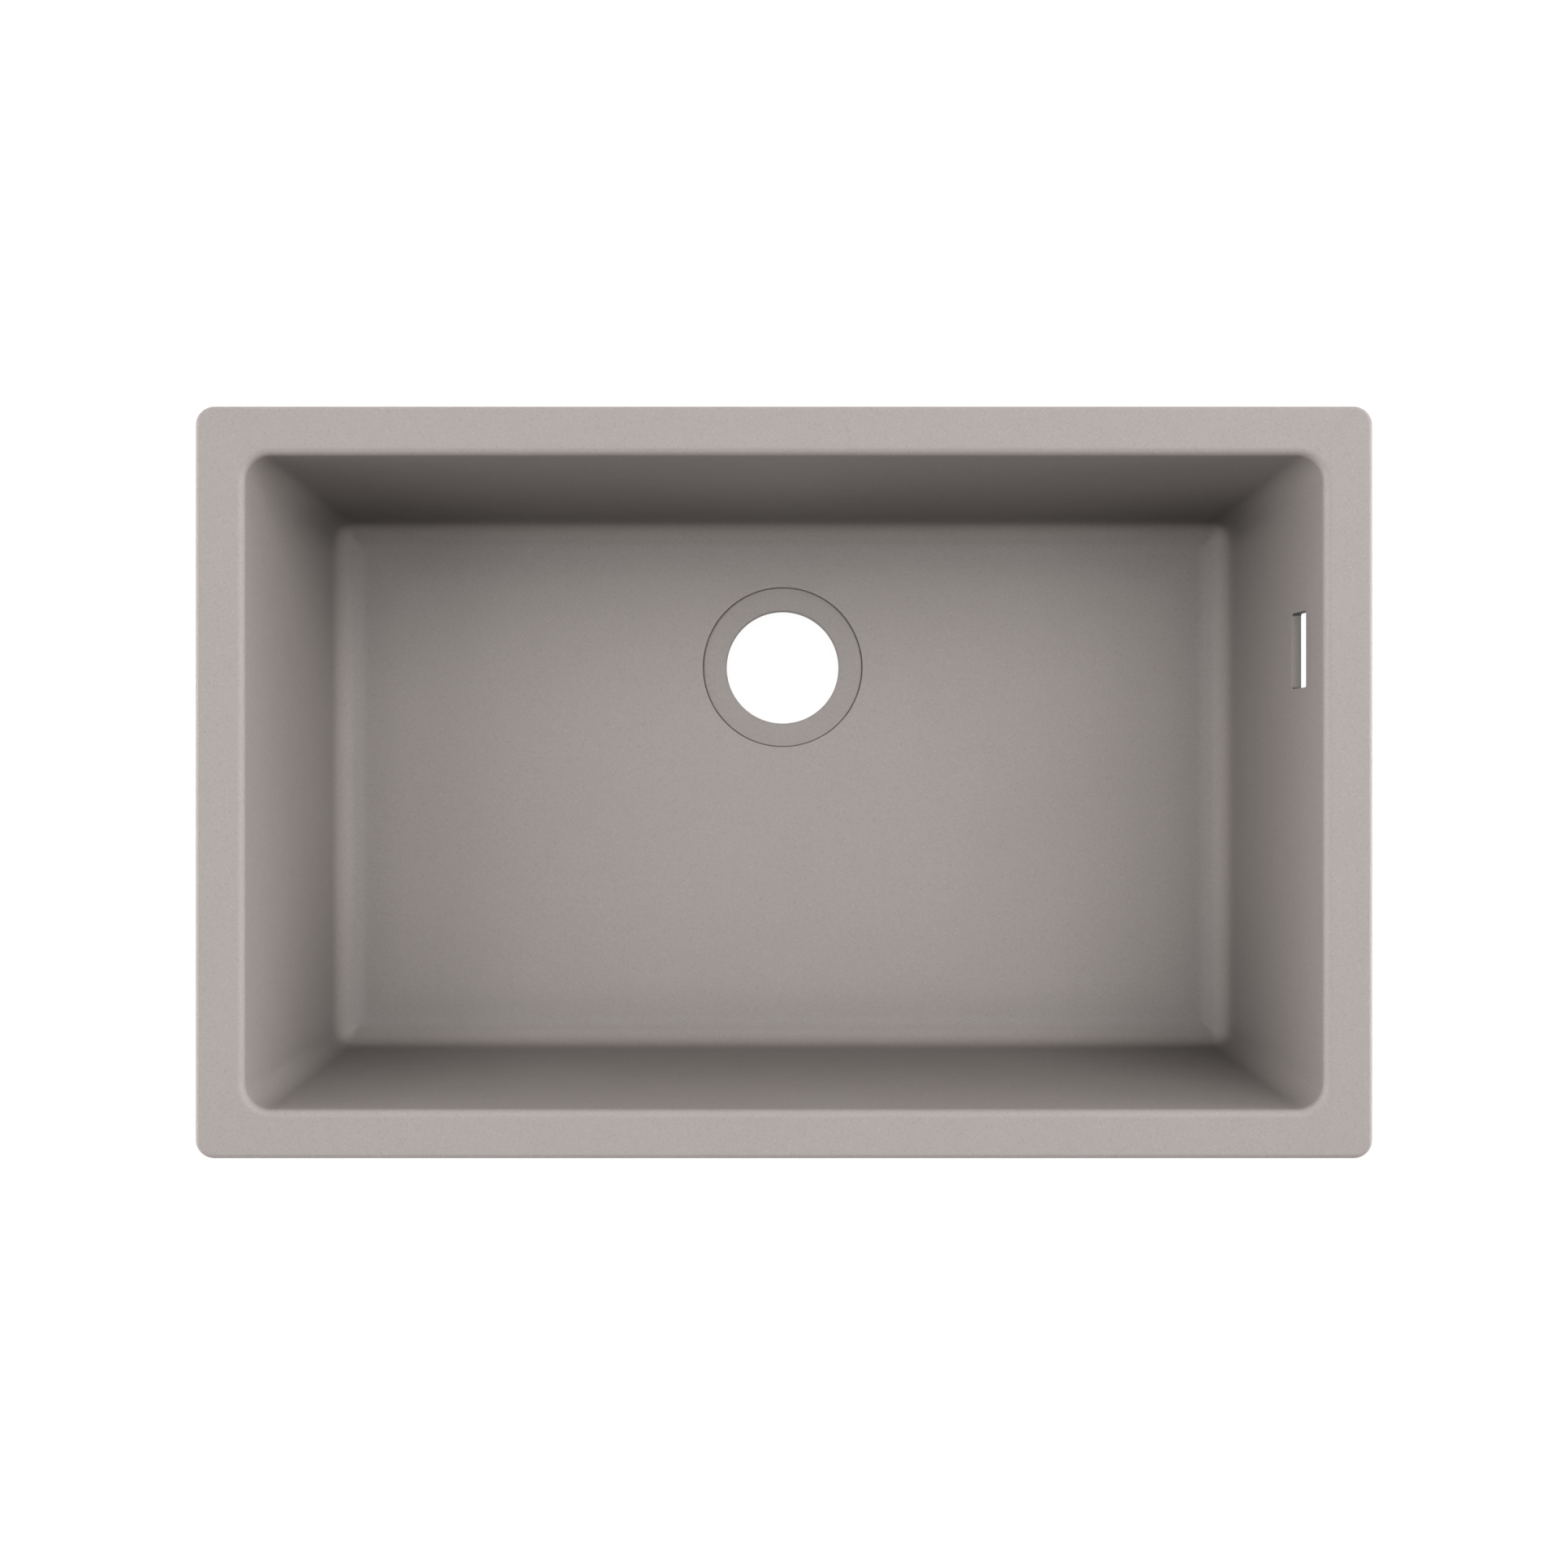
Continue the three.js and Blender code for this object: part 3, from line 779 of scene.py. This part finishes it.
# The window and its outer seat are given as length, height and corner radius.
overflowForm = {
    "y": 84,
    "z": 158,
    "window": (48, 24, 1.5),
    "seat": (76, 54, 6),
    "wallLeft": 6,
    "round": 0.45,
    "seatRound": 1.2,
    "smallestCorner": 0.2,
}


def uprightRing(length, height, corner, grow, depth):
    form = overflowForm
    half = (length / 2 + grow, height / 2 + grow)
    radius = max(form["smallestCorner"], corner + grow)
    points = []
    for quarter, (sy, sz) in enumerate(((1, 1), (-1, 1), (-1, -1), (1, -1))):
        centre = (form["y"] + sy * (half[0] - radius), form["z"] + sz * (half[1] - radius))
        for y, z in arc(centre, radius, quarter * pi / 2, (quarter + 1) * pi / 2, 6):
            points.append((bowlForm["opening"][0] / 2 + wallOutward(z) + depth, y, z))
    return points


def overflowWindow():
    form = overflowForm
    edge = form["round"]
    left = form["wallLeft"] / cos(bowlForm["draft"])
    inner = [(edge * (1 - cos(a)), edge * (1 - sin(a))) for a in quarterTurn]
    outer = [(left - depth, grow) for depth, grow in reversed(inner)]
    steps = [(-8, edge)] + inner + outer + [(left + 12, edge)]
    rings = [uprightRing(*form["window"], grow, depth) for depth, grow in steps]
    cutter = lofted("overflowWindow", rings)
    setFaces(cutter, 0)
    return cutter


def overflowSeat():
    form = overflowForm
    left = form["wallLeft"] / cos(bowlForm["draft"])
    edge = form["seatRound"]
    foot = [(left + edge * (1 - cos(a)), edge * (sin(a) - 1)) for a in quarterTurn]
    rings = [uprightRing(*form["seat"], grow, depth) for depth, grow in foot + [(left + 16, 0)]]
    cutter = lofted("overflowSeat", rings)
    setFaces(cutter, 1)
    return cutter


fixingForm = {
    "inset": 11,
    "reach": 52,
    "boss": 9.5,
    "bossHeight": 5,
    "bossRound": 0.9,
    "bossRoot": 1.6,
    "bore": 4.1,
    "boreDepth": 10.6,
    "boreEdge": 0.3,
    "pad": 13,
    "padRound": 1.2,
    "padRoot": 2,
    "padInset": (82, 62),
}


def stations():
    form = fixingForm
    length, width = bowlForm["rim"]
    farX, farY = length / 2 - form["inset"], width / 2 - form["inset"]
    pitch = length / 3 - form["inset"]
    rows = (-1, 0, 1)
    places = [(farX, -form["reach"] / 2, 0.0)]
    places += [(-i * pitch, farY, pi / 2) for i in rows]
    places += [(-farX, form["reach"] / 2, pi)]
    places += [(i * pitch, -farY, -pi / 2) for i in rows]
    return places


def placeAt(station):
    x, y, turn = station
    return Matrix.Translation((x * mm, y * mm, 0)) @ Matrix.Rotation(turn, 4, "Z")


def strapBoss():
    form = fixingForm
    face = underRim - form["bossHeight"]
    overhang = (bowlForm["rim"][0] - bowlForm["opening"][0]) / 2
    backX = wallOutward(face) + bowlForm["wall"] / 2 - overhang + form["inset"]
    edge, root = form["bossRound"], form["bossRoot"]
    steps = [(face + edge * (1 - sin(a)), edge * (cos(a) - 1)) for a in reversed(quarterTurn)]
    steps += [(underRim - root * (1 - sin(a)), root * (1 - cos(a))) for a in quarterTurn]
    steps.append((underRim + 2, root))
    rings = []
    for z, grow in steps:
        radius = form["boss"] + grow
        half = [(min(x, form["boss"]), y, z) for x, y in arc((0, 0), radius, -pi / 2, pi / 2, 28)]
        rings.append([(backX, -radius, z)] + half + [(backX, radius, z)])
    return lofted("strapBoss", rings)


def stackingPad():
    form = fixingForm
    edge, root = form["padRound"], form["padRoot"]
    under = bowlForm["floorAtWall"] - bowlForm["floor"] - 0.4
    profile = [(0, 0)] + arc((form["pad"] - edge, edge), edge, -pi / 2, 0, 5)
    profile += [(2 * (form["pad"] + root) - x, z) for x, z in
                arc((form["pad"] + root, under - root), root, 0, pi / 2, 5)]
    profile += [(form["pad"] + root, under + 4), (0, under + 4)]
    return turned("stackingPad", profile, 48)


def additions():
    boss = strapBoss()
    pad = stackingPad()
    length, width = bowlForm["opening"]
    insetX, insetY = fixingForm["padInset"]
    spots = [(sx * (length / 2 - insetX), sy * (width / 2 - insetY)) for sx in (-1, 1) for sy in (-1, 1)]
    pieces = [copied(boss, placeAt(s)) for s in stations()]
    pieces += [copied(pad, Matrix.Translation((x * mm, y * mm, 0))) for x, y in spots]
    bpy.data.objects.remove(boss)
    bpy.data.objects.remove(pad)
    whole = joined("additions", pieces)
    setFaces(whole, 1)
    return whole


def bores():
    form = fixingForm
    face = underRim - form["bossHeight"]
    deep = face + form["boreDepth"]
    radius, edge = form["bore"], form["boreEdge"]
    profile = [(0, face - 3), (radius + edge, face - 3), (radius + edge, face), (radius, face + edge),
               (radius, deep), (0, deep)]
    bore = turned("bore", profile, 40)
    whole = joined("bores", [copied(bore, placeAt(s)) for s in stations()])
    bpy.data.objects.remove(bore)
    setFaces(whole, 1)
    return whole


def makeBowl():
    skin = bowlSkin()
    for material in (looks["front"], looks["back"]):
        skin.data.materials.append(material)
    say("bowl skin, %d faces" % len(skin.data.polygons))
    combine(skin, additions(), "UNION")
    combine(skin, bores(), "DIFFERENCE")
    combine(skin, overflowSeat(), "DIFFERENCE")
    combine(skin, overflowWindow(), "DIFFERENCE")
    smoothBy(skin.data, 32)
    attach(skin, "sink")
    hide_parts("bowl")
    say("bowl, %d faces" % len(skin.data.polygons))


looks = {
    "front": compositeFront(),
    "back": compositeBack(),
    "zinc": zincSteel(),
    "stainless": turnedMetal("stainless", stainlessLook),
    "brass": turnedMetal("brass", brassLook),
    "fibre": fibre(),
}
say("materials")

makeBowl()


# Straps and fixings are made round the origin, pointing along the first station, and then copied to all eight.
strapForm = {
    "reach": fixingForm["reach"],
    "width": 15,
    "thickness": 2.5,
    "crankStart": 16,
    "crankRun": 8,
    "tipRadius": 4,
    "slot": (6.2, 18, 5),
    "underRim": 1.2,
    "hole": 2.7,
    "bend": 3.2,
    "edge": 0.3,
    "edgeAngle": radians(35),
}
smallForm = {
    "seatGap": 0.1,
    "screw": 2.4,
    "screwLength": 16,
    "head": (8, 3.5),
    "headSlope": 0.58,
    "headUnder": 0.12,
    "socket": (4, 2),
    "socketEdge": (0.5, 0.25),
    "drillPoint": 0.9,
    "thread": (0.8, 0.42),
    "threadStart": 1.5,
    "tip": ((1.7, 0.1), (1.4, 0)),
    "insert": 3.8,
    "insertLength": 10,
    "waist": ((0, 0.86), (0.03, 1), (0.34, 1), (0.4, 0.9), (0.43, 0.84), (0.57, 0.84), (0.6, 0.9), (0.66, 1),
              (0.97, 1), (1, 0.92)),
    "knurl": 0.22,
    "washer": (7.5, 1.2),
    "spring": (4.4, 1.3, 1.2),
    "gasket": (7, 1),
    "fit": 0.3,
    "punchRoll": 0.35,
    "punchBurr": 0.06,
    "freeTurn": 6.0,
}


def levels():
    gap = smallForm["seatGap"]
    face = underRim - fixingForm["bossHeight"]
    gasket = face - gap
    strap = gasket - smallForm["gasket"][1] - gap
    washer = strap - strapForm["thickness"] - gap
    spring = washer - smallForm["washer"][1] - gap
    head = spring - smallForm["spring"][1] - gap
    return {"face": face, "gasket": gasket, "strap": strap, "washer": washer, "spring": spring, "head": head}


level = levels()


# Keeps each piece's own x and y, so that its marks follow its own shape wherever it is placed.
def keepLocal(mesh):
    layer = mesh.uv_layers.new(name="local")
    for loop in mesh.loops:
        x, y, _ = mesh.vertices[loop.vertex_index].co
        layer.data[loop.index].uv = (x, y)


def bevelled(piece, width, angle):
    edge = piece.modifiers.new("edge", "BEVEL")
    edge.width = width * mm
    edge.segments = 2
    edge.limit_method = "ANGLE"
    edge.angle_limit = angle
    settle(piece)


# The strip's centre line with a round bend at each end of the crank, then both of its faces.
def strapSide():
    form = strapForm
    rise = underRim - form["underRim"] - level["strap"]
    low = level["strap"] - form["thickness"] / 2
    slope = atan2(rise, form["crankRun"])
    cut = form["bend"] * tan(slope / 2)
    start, end = form["crankStart"], form["crankStart"] + form["crankRun"]
    bend = form["bend"]
    line = [(-form["width"] / 2 - 1, low, 0)]
    line += [(start - cut + bend * sin(a), low + bend * (1 - cos(a)), a)
             for a in [slope * i / 6 for i in range(7)]]
    line += [(end + cut - bend * sin(a), low + rise - bend * (1 - cos(a)), a)
             for a in [slope * (6 - i) / 6 for i in range(7)]]
    line.append((form["reach"] + 1, low + rise, 0))
    half = form["thickness"] / 2
    under = [(x + half * sin(a), z - half * cos(a)) for x, z, a in line]
    over = [(x - half * sin(a), z + half * cos(a)) for x, z, a in line]
    return under + over[::-1]


def strapPlan():
    form = strapForm
    half = form["width"] / 2
    tip = form["tipRadius"]
    reach = form["reach"]
    points = arc((0, 0), half, pi / 2, 1.5 * pi, 24)
    points += arc((reach - tip, tip - half), tip, -pi / 2, 0, 10)
    points += arc((reach - tip, half - tip), tip, 0, pi / 2, 10)
    return points


def upright(name, outline, low, high):
    return lofted(name, [[(x, y, z) for x, y in outline] for z in (low, high)])


def makeStrap():
    form = strapForm
    half = form["width"] / 2
    strip = lofted("strap", [[(x, y, z) for x, z in strapSide()] for y in (-half - 1, half + 1)])
    low, high = level["strap"] - 8, level["strap"] + 10
    combine(strip, upright("plan", strapPlan(), low, high), "INTERSECT")
    width, length, fromTip = form["slot"]
    end = form["reach"] - fromTip - width / 2
    start = end - length + width
    slot = arc((end, 0), width / 2, -pi / 2, pi / 2, 14)
    slot += arc((start, 0), width / 2, pi / 2, 1.5 * pi, 14)
    combine(strip, upright("slot", slot, low, high), "DIFFERENCE")
    hole = arc((0, 0), form["hole"], 0, 2 * pi * 31 / 32, 31)
    combine(strip, upright("hole", hole, low, high), "DIFFERENCE")
    bevelled(strip, form["edge"], form["edgeAngle"])
    smoothBy(strip.data, 50)
    strip.data.transform(Matrix.Rotation(-pi / 2, 4, "Z"))
    return strip


def hexRadius(acrossFlats, angle):
    sixth = pi / 3
    return acrossFlats / 2 / cos((angle + sixth / 2) % sixth - sixth / 2)


# Head, socket and threaded shank as one closed stack of rings, from the socket's floor up to the tip.
def makeScrew():
    form = smallForm
    across, height = form["head"]
    socket, depth = form["socket"]
    top = level["head"]
    base = top - height
    steps = 48
    angles = [2 * pi * i / steps + pi / 6 for i in range(steps)]

    def hexRing(flats, z, limit=99.0):
        radii = [min(hexRadius(flats, a), limit) for a in angles]
        return [(radius * cos(a), radius * sin(a), z) for radius, a in zip(radii, angles)]

    corner = across / sqrt(3)
    flat = across / 2
    wider, deeper = form["socketEdge"]
    rings = [hexRing(0.2, base + depth + form["drillPoint"]), hexRing(socket, base + depth)]
    rings += [hexRing(socket, base + deeper), hexRing(socket + wider, base), hexRing(across, base, flat - 0.1)]
    rings += [hexRing(across, base + (limit - flat + 0.1) * form["headSlope"], limit)
              for limit in (flat + (corner - flat) * i / 4 for i in range(1, 5))]
    rings += [hexRing(across, top - form["headUnder"]), hexRing(across, top, flat * 1.02)]
    pitch, cut = form["thread"]
    tip = top + form["screwLength"]
    rings.append(circle(form["screw"], top, angles))
    z = top + 0.3
    while z < tip - 0.6:
        ring = []
        for a in angles:
            phase = (z / pitch - a / (2 * pi)) % 1
            fade = min(1, (z - top) / form["threadStart"])
            radius = form["screw"] - cut * fade * abs(2 * phase - 1)
            ring.append((radius * cos(a), radius * sin(a), z))
        rings.append(ring)
        z += pitch / 6
    rings += [circle(radius, tip - back, angles) for radius, back in form["tip"]]
    screw = lofted("screw", rings)
    smoothBy(screw.data, 28)
    return screw


# The outside is knurled above and below the waist.
def makeInsert():
    form = smallForm
    bottom = level["face"] + form["fit"]
    length, outer = form["insertLength"], form["insert"]
    bore = form["screw"] + form["fit"]
    steps = 72
    angles = [2 * pi * i / steps for i in range(steps)]
    rings = []
    for share, size in form["waist"]:
        ring = []
        for i, angle in enumerate(angles):
            groove = form["knurl"] if size == 1 and i % 3 == 0 else 0
            radius = outer * size - groove
            ring.append((radius * cos(angle), radius * sin(angle), bottom + length * share))
        rings.append(ring)
    rings += [circle(bore, z, angles) for z in (bottom + length, bottom)]
    vertices = [p for ring in rings for p in ring]
    piece = newPiece("insert", vertices, ringFaces(len(rings), steps, closed=True))
    faceOutwards(piece.data)
    smoothBy(piece.data, 30)
    return piece


# A flat ring with a rolled edge on one side and a sharp one on the other, as a punch leaves it.
def punchedRing(name, bore, outer, low, high):
    roll = min(smallForm["punchRoll"], (high - low) / 3)
    burr = smallForm["punchBurr"]
    profile = arc((outer - roll, low + roll), roll, -pi / 2, 0, 4)
    profile += [(outer, high - burr), (outer - burr, high), (bore + burr, high), (bore, high - burr)]
    profile += arc((bore + roll, low + roll), roll, pi, 1.5 * pi, 4)
    piece = turned(name, profile, 56)
    smoothBy(piece.data, 30)
    return piece


def makeSpringWasher():
    form = smallForm
    outer, thick, gap = form["spring"]
    low, high = level["spring"] - thick, level["spring"]
    ring = punchedRing("springWasher", strapForm["hole"], outer, low, high)
    side = [(outer * 2, -gap), (outer * 2, gap), (0.5, gap), (0.5, -gap)]
    lean = tan(pi / 6)
    middle = (low + high) / 2
    rings = []
    for z in (low - 3, high + 3):
        rings.append([(x, copysign(gap / 2, y) + (middle - z) * lean, z) for x, y in side])
    combine(ring, lofted("split", rings), "DIFFERENCE")
    smoothBy(ring.data, 30)
    return ring


# Geometry Nodes: copies a master piece to one station, with a seeded turn about its own axis.
def stationGroup():
    sockets = (("Master", "Geometry"), ("Stations", "Object"), ("Station", "Int"), ("Roll", "Float"),
               ("Seed", "Int"), ("Material", "Material"))
    group, given, result = newGroup(
        "placeAtStations", [(*socket, None) for socket in sockets], [("Pieces", "Geometry")], "Geometry")
    source = addNode(group, "GeometryNodeObjectInfo", Object=given["Stations"])
    index = addNode(group, "GeometryNodeInputIndex").outputs[0]
    same = addNode(group, "FunctionNodeCompare", data_type="INT", operation="EQUAL")
    feed(group, same.inputs[2], index)
    feed(group, same.inputs[3], given["Station"])
    turn = addNode(group, "GeometryNodeInputNamedAttribute", data_type="FLOAT", Name="turn")
    roll = addNode(group, "FunctionNodeRandomValue", data_type="FLOAT", Seed=given["Seed"], ID=index)
    spread = maths(group, "MULTIPLY_ADD", roll.outputs[1], given["Roll"], turn.outputs["Attribute"])
    place = addNode(group, "GeometryNodeInstanceOnPoints", Points=source.outputs["Geometry"],
                    Selection=same.outputs[0], Instance=given["Master"], Rotation=vectorOf(group, Z=spread))
    real = addNode(group, "GeometryNodeRealizeInstances", Geometry=place.outputs[0])
    finish = addNode(group, "GeometryNodeSetMaterial", Geometry=real.outputs[0], Material=given["Material"])
    feed(group, result["Pieces"], finish.outputs[0])
    return group


def stationPoints():
    spots = stations()
    mesh = bpy.data.meshes.new("stationPoints")
    mesh.from_pydata([(x * mm, y * mm, 0) for x, y, _ in spots], [], [])
    turns = mesh.attributes.new("turn", "FLOAT", "POINT")
    for i, (_, _, turn) in enumerate(spots):
        turns.data[i].value = turn
    return linked("stationPoints", mesh)


def spreadOut(master, node, material, roll, seed):
    keepLocal(master.data)
    sockets = {s.name: s.identifier for s in placing.interface.items_tree if s.in_out == "INPUT"}
    for i in range(len(stations())):
        piece = linked("%s_piece_%d" % (node, i + 1), master.data.copy())
        nodes = piece.modifiers.new("place", "NODES")
        nodes.node_group = placing
        for label, value in (("Stations", points), ("Station", i), ("Roll", roll), ("Seed", seed),
                             ("Material", looks[material])):
            nodes[sockets[label]] = value
        settle(piece)
        body = "strap_%d" % (i + 1) if node == "fixing_strap" else "sink"
        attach(piece, body)
        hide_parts("%s_%d" % (node, i + 1))
    say("%s, %d faces each" % (node, len(master.data.polygons)))
    bpy.data.objects.remove(master)


def makeFixings():
    form = smallForm
    washer, thick = form["washer"]
    flat = punchedRing("flatWasher", strapForm["hole"], washer, level["washer"] - thick, level["washer"])
    seal, sealThick = form["gasket"]
    gasket = punchedRing("gasket", strapForm["hole"], seal, level["gasket"] - sealThick, level["gasket"])
    spreadOut(makeStrap(), "fixing_strap", "zinc", 0.0, 1)
    spreadOut(makeScrew(), "strap_screw", "stainless", pi / 3, 2)
    spreadOut(makeInsert(), "threaded_insert", "brass", 0.0, 3)
    spreadOut(flat, "flat_washer", "stainless", form["freeTurn"], 4)
    spreadOut(makeSpringWasher(), "spring_washer", "stainless", form["freeTurn"], 5)
    spreadOut(gasket, "gasket_washer", "fibre", form["freeTurn"], 6)


placing = stationGroup()
points = stationPoints()
makeFixings()
bpy.data.objects.remove(points)


stageLook = {"size": 40000, "below": 0.5, "glow": 0.94, "shade": 0.05, "plain": 0.8, "sky": 0.06}


# The pale backdrop is what the camera sees and what metal shows. All other rays see the plain floor and sky.
def showBackdrop(tree, output, plain, backdrop):
    path = tree.nodes.new("ShaderNodeLightPath").outputs
    shown = maths(tree, "MAXIMUM", path["Is Camera Ray"], path["Is Glossy Ray"])
    mix = tree.nodes.new("ShaderNodeMixShader")
    factor = maths(tree, "MAXIMUM", shown, path["Is Transmission Ray"])
    for socket, value in zip(mix.inputs, (factor, plain.outputs[0], backdrop.outputs[0])):
        feed(tree, socket, value)
    feed(tree, tree.nodes.new(output).inputs["Surface"], mix.outputs[0])


def makeFloor():
    look = stageLook
    half = look["size"] / 2
    corners = [(-half, -half, 0), (half, -half, 0), (half, half, 0), (-half, half, 0)]
    floor = newPiece("floor", corners, [(0, 1, 2, 3)])
    floor.location.z = -look["below"] * mm
    material = bpy.data.materials.new("paleFloor")
    material.use_nodes = True
    tree = material.node_tree
    tree.nodes.clear()
    shaded, plain = (addNode(tree, "ShaderNodeBsdfDiffuse", Color=(look[key],) * 3 + (1,))
                     for key in ("shade", "plain"))
    glow = addNode(tree, "ShaderNodeEmission", Strength=look["glow"])
    backdrop = tree.nodes.new("ShaderNodeAddShader")
    feed(tree, backdrop.inputs[0], shaded.outputs[0])
    feed(tree, backdrop.inputs[1], glow.outputs[0])
    showBackdrop(tree, "ShaderNodeOutputMaterial", plain, backdrop)
    floor.data.materials.append(material)


def makeSky():
    world = bpy.data.worlds.new("sky")
    bpy.context.scene.world = world
    world.use_nodes = True
    tree = world.node_tree
    tree.nodes.clear()
    dim, white = (addNode(tree, "ShaderNodeBackground", Color=(1, 1, 1, 1), Strength=strength)
                  for strength in (stageLook["sky"], 1.0))
    showBackdrop(tree, "ShaderNodeOutputWorld", dim, white)


# Soft boxes round the sink: the way they lie, their height angle, and their power in watts.
lightPlan = {
    "distance": 6.0,
    "size": 3.2,
    "aim": (0, 0, 0.1),
    "boxes": {
        "rightLow": (0, 6, 538),
        "rightBackLow": (30, 6, 43),
        "backRightLow": (60, 6, 150),
        "backLeftLow": (120, 6, 127),
        "leftLow": (180, 6, 465),
        "frontLeftLow": (240, 6, 92),
        "right": (0, 45, 25),
        "rightBack": (30, 45, 153),
        "leftBack": (150, 45, 13),
        "left": (180, 45, 149),
        "rightHigh": (0, 62, 80),
        "backRightHigh": (60, 62, 109),
        "leftBackHigh": (150, 62, 82),
        "frontSteep": (270, 70, 56),
        "overhead": (0, 90, 74),
    },
}


def makeLights():
    plan = lightPlan
    aim = Vector(plan["aim"])
    for name, (azimuth, elevation, power) in plan["boxes"].items():
        a, e = radians(azimuth), radians(elevation)
        direction = Vector((cos(e) * cos(a), cos(e) * sin(a), sin(e)))
        light = bpy.data.lights.new(name, "AREA")
        light.shape = "DISK"
        light.size = plan["size"]
        light.energy = power
        lamp = linked(name, light)
        lamp.location = aim + direction * plan["distance"]
        lamp.rotation_euler = (-direction).to_track_quat("-Z", "Y").to_euler()


cameraPlan = {"at": (-6.2, -9.4), "above": 1200, "focalPixels": 2421, "frame": 1932, "shiftPixels": (12.46, 16.98)}


def makeCamera():
    plan = cameraPlan
    data = bpy.data.cameras.new("camera")
    data.sensor_fit = "HORIZONTAL"
    data.sensor_width = 36
    data.lens = plan["focalPixels"] / plan["frame"] * data.sensor_width
    data.shift_x = plan["shiftPixels"][0] / plan["frame"]
    data.shift_y = plan["shiftPixels"][1] / plan["frame"]
    data.clip_end = 100
    camera = linked("camera", data)
    camera.location = Vector((*plan["at"], bowlForm["top"] + plan["above"])) * mm
    camera.rotation_euler = (0, 0, 0)
    bpy.context.scene.camera = camera


makeFloor()
makeSky()
makeLights()
makeCamera()
bpy.context.scene.view_settings.view_transform = "Standard"
say("floor, light and camera")
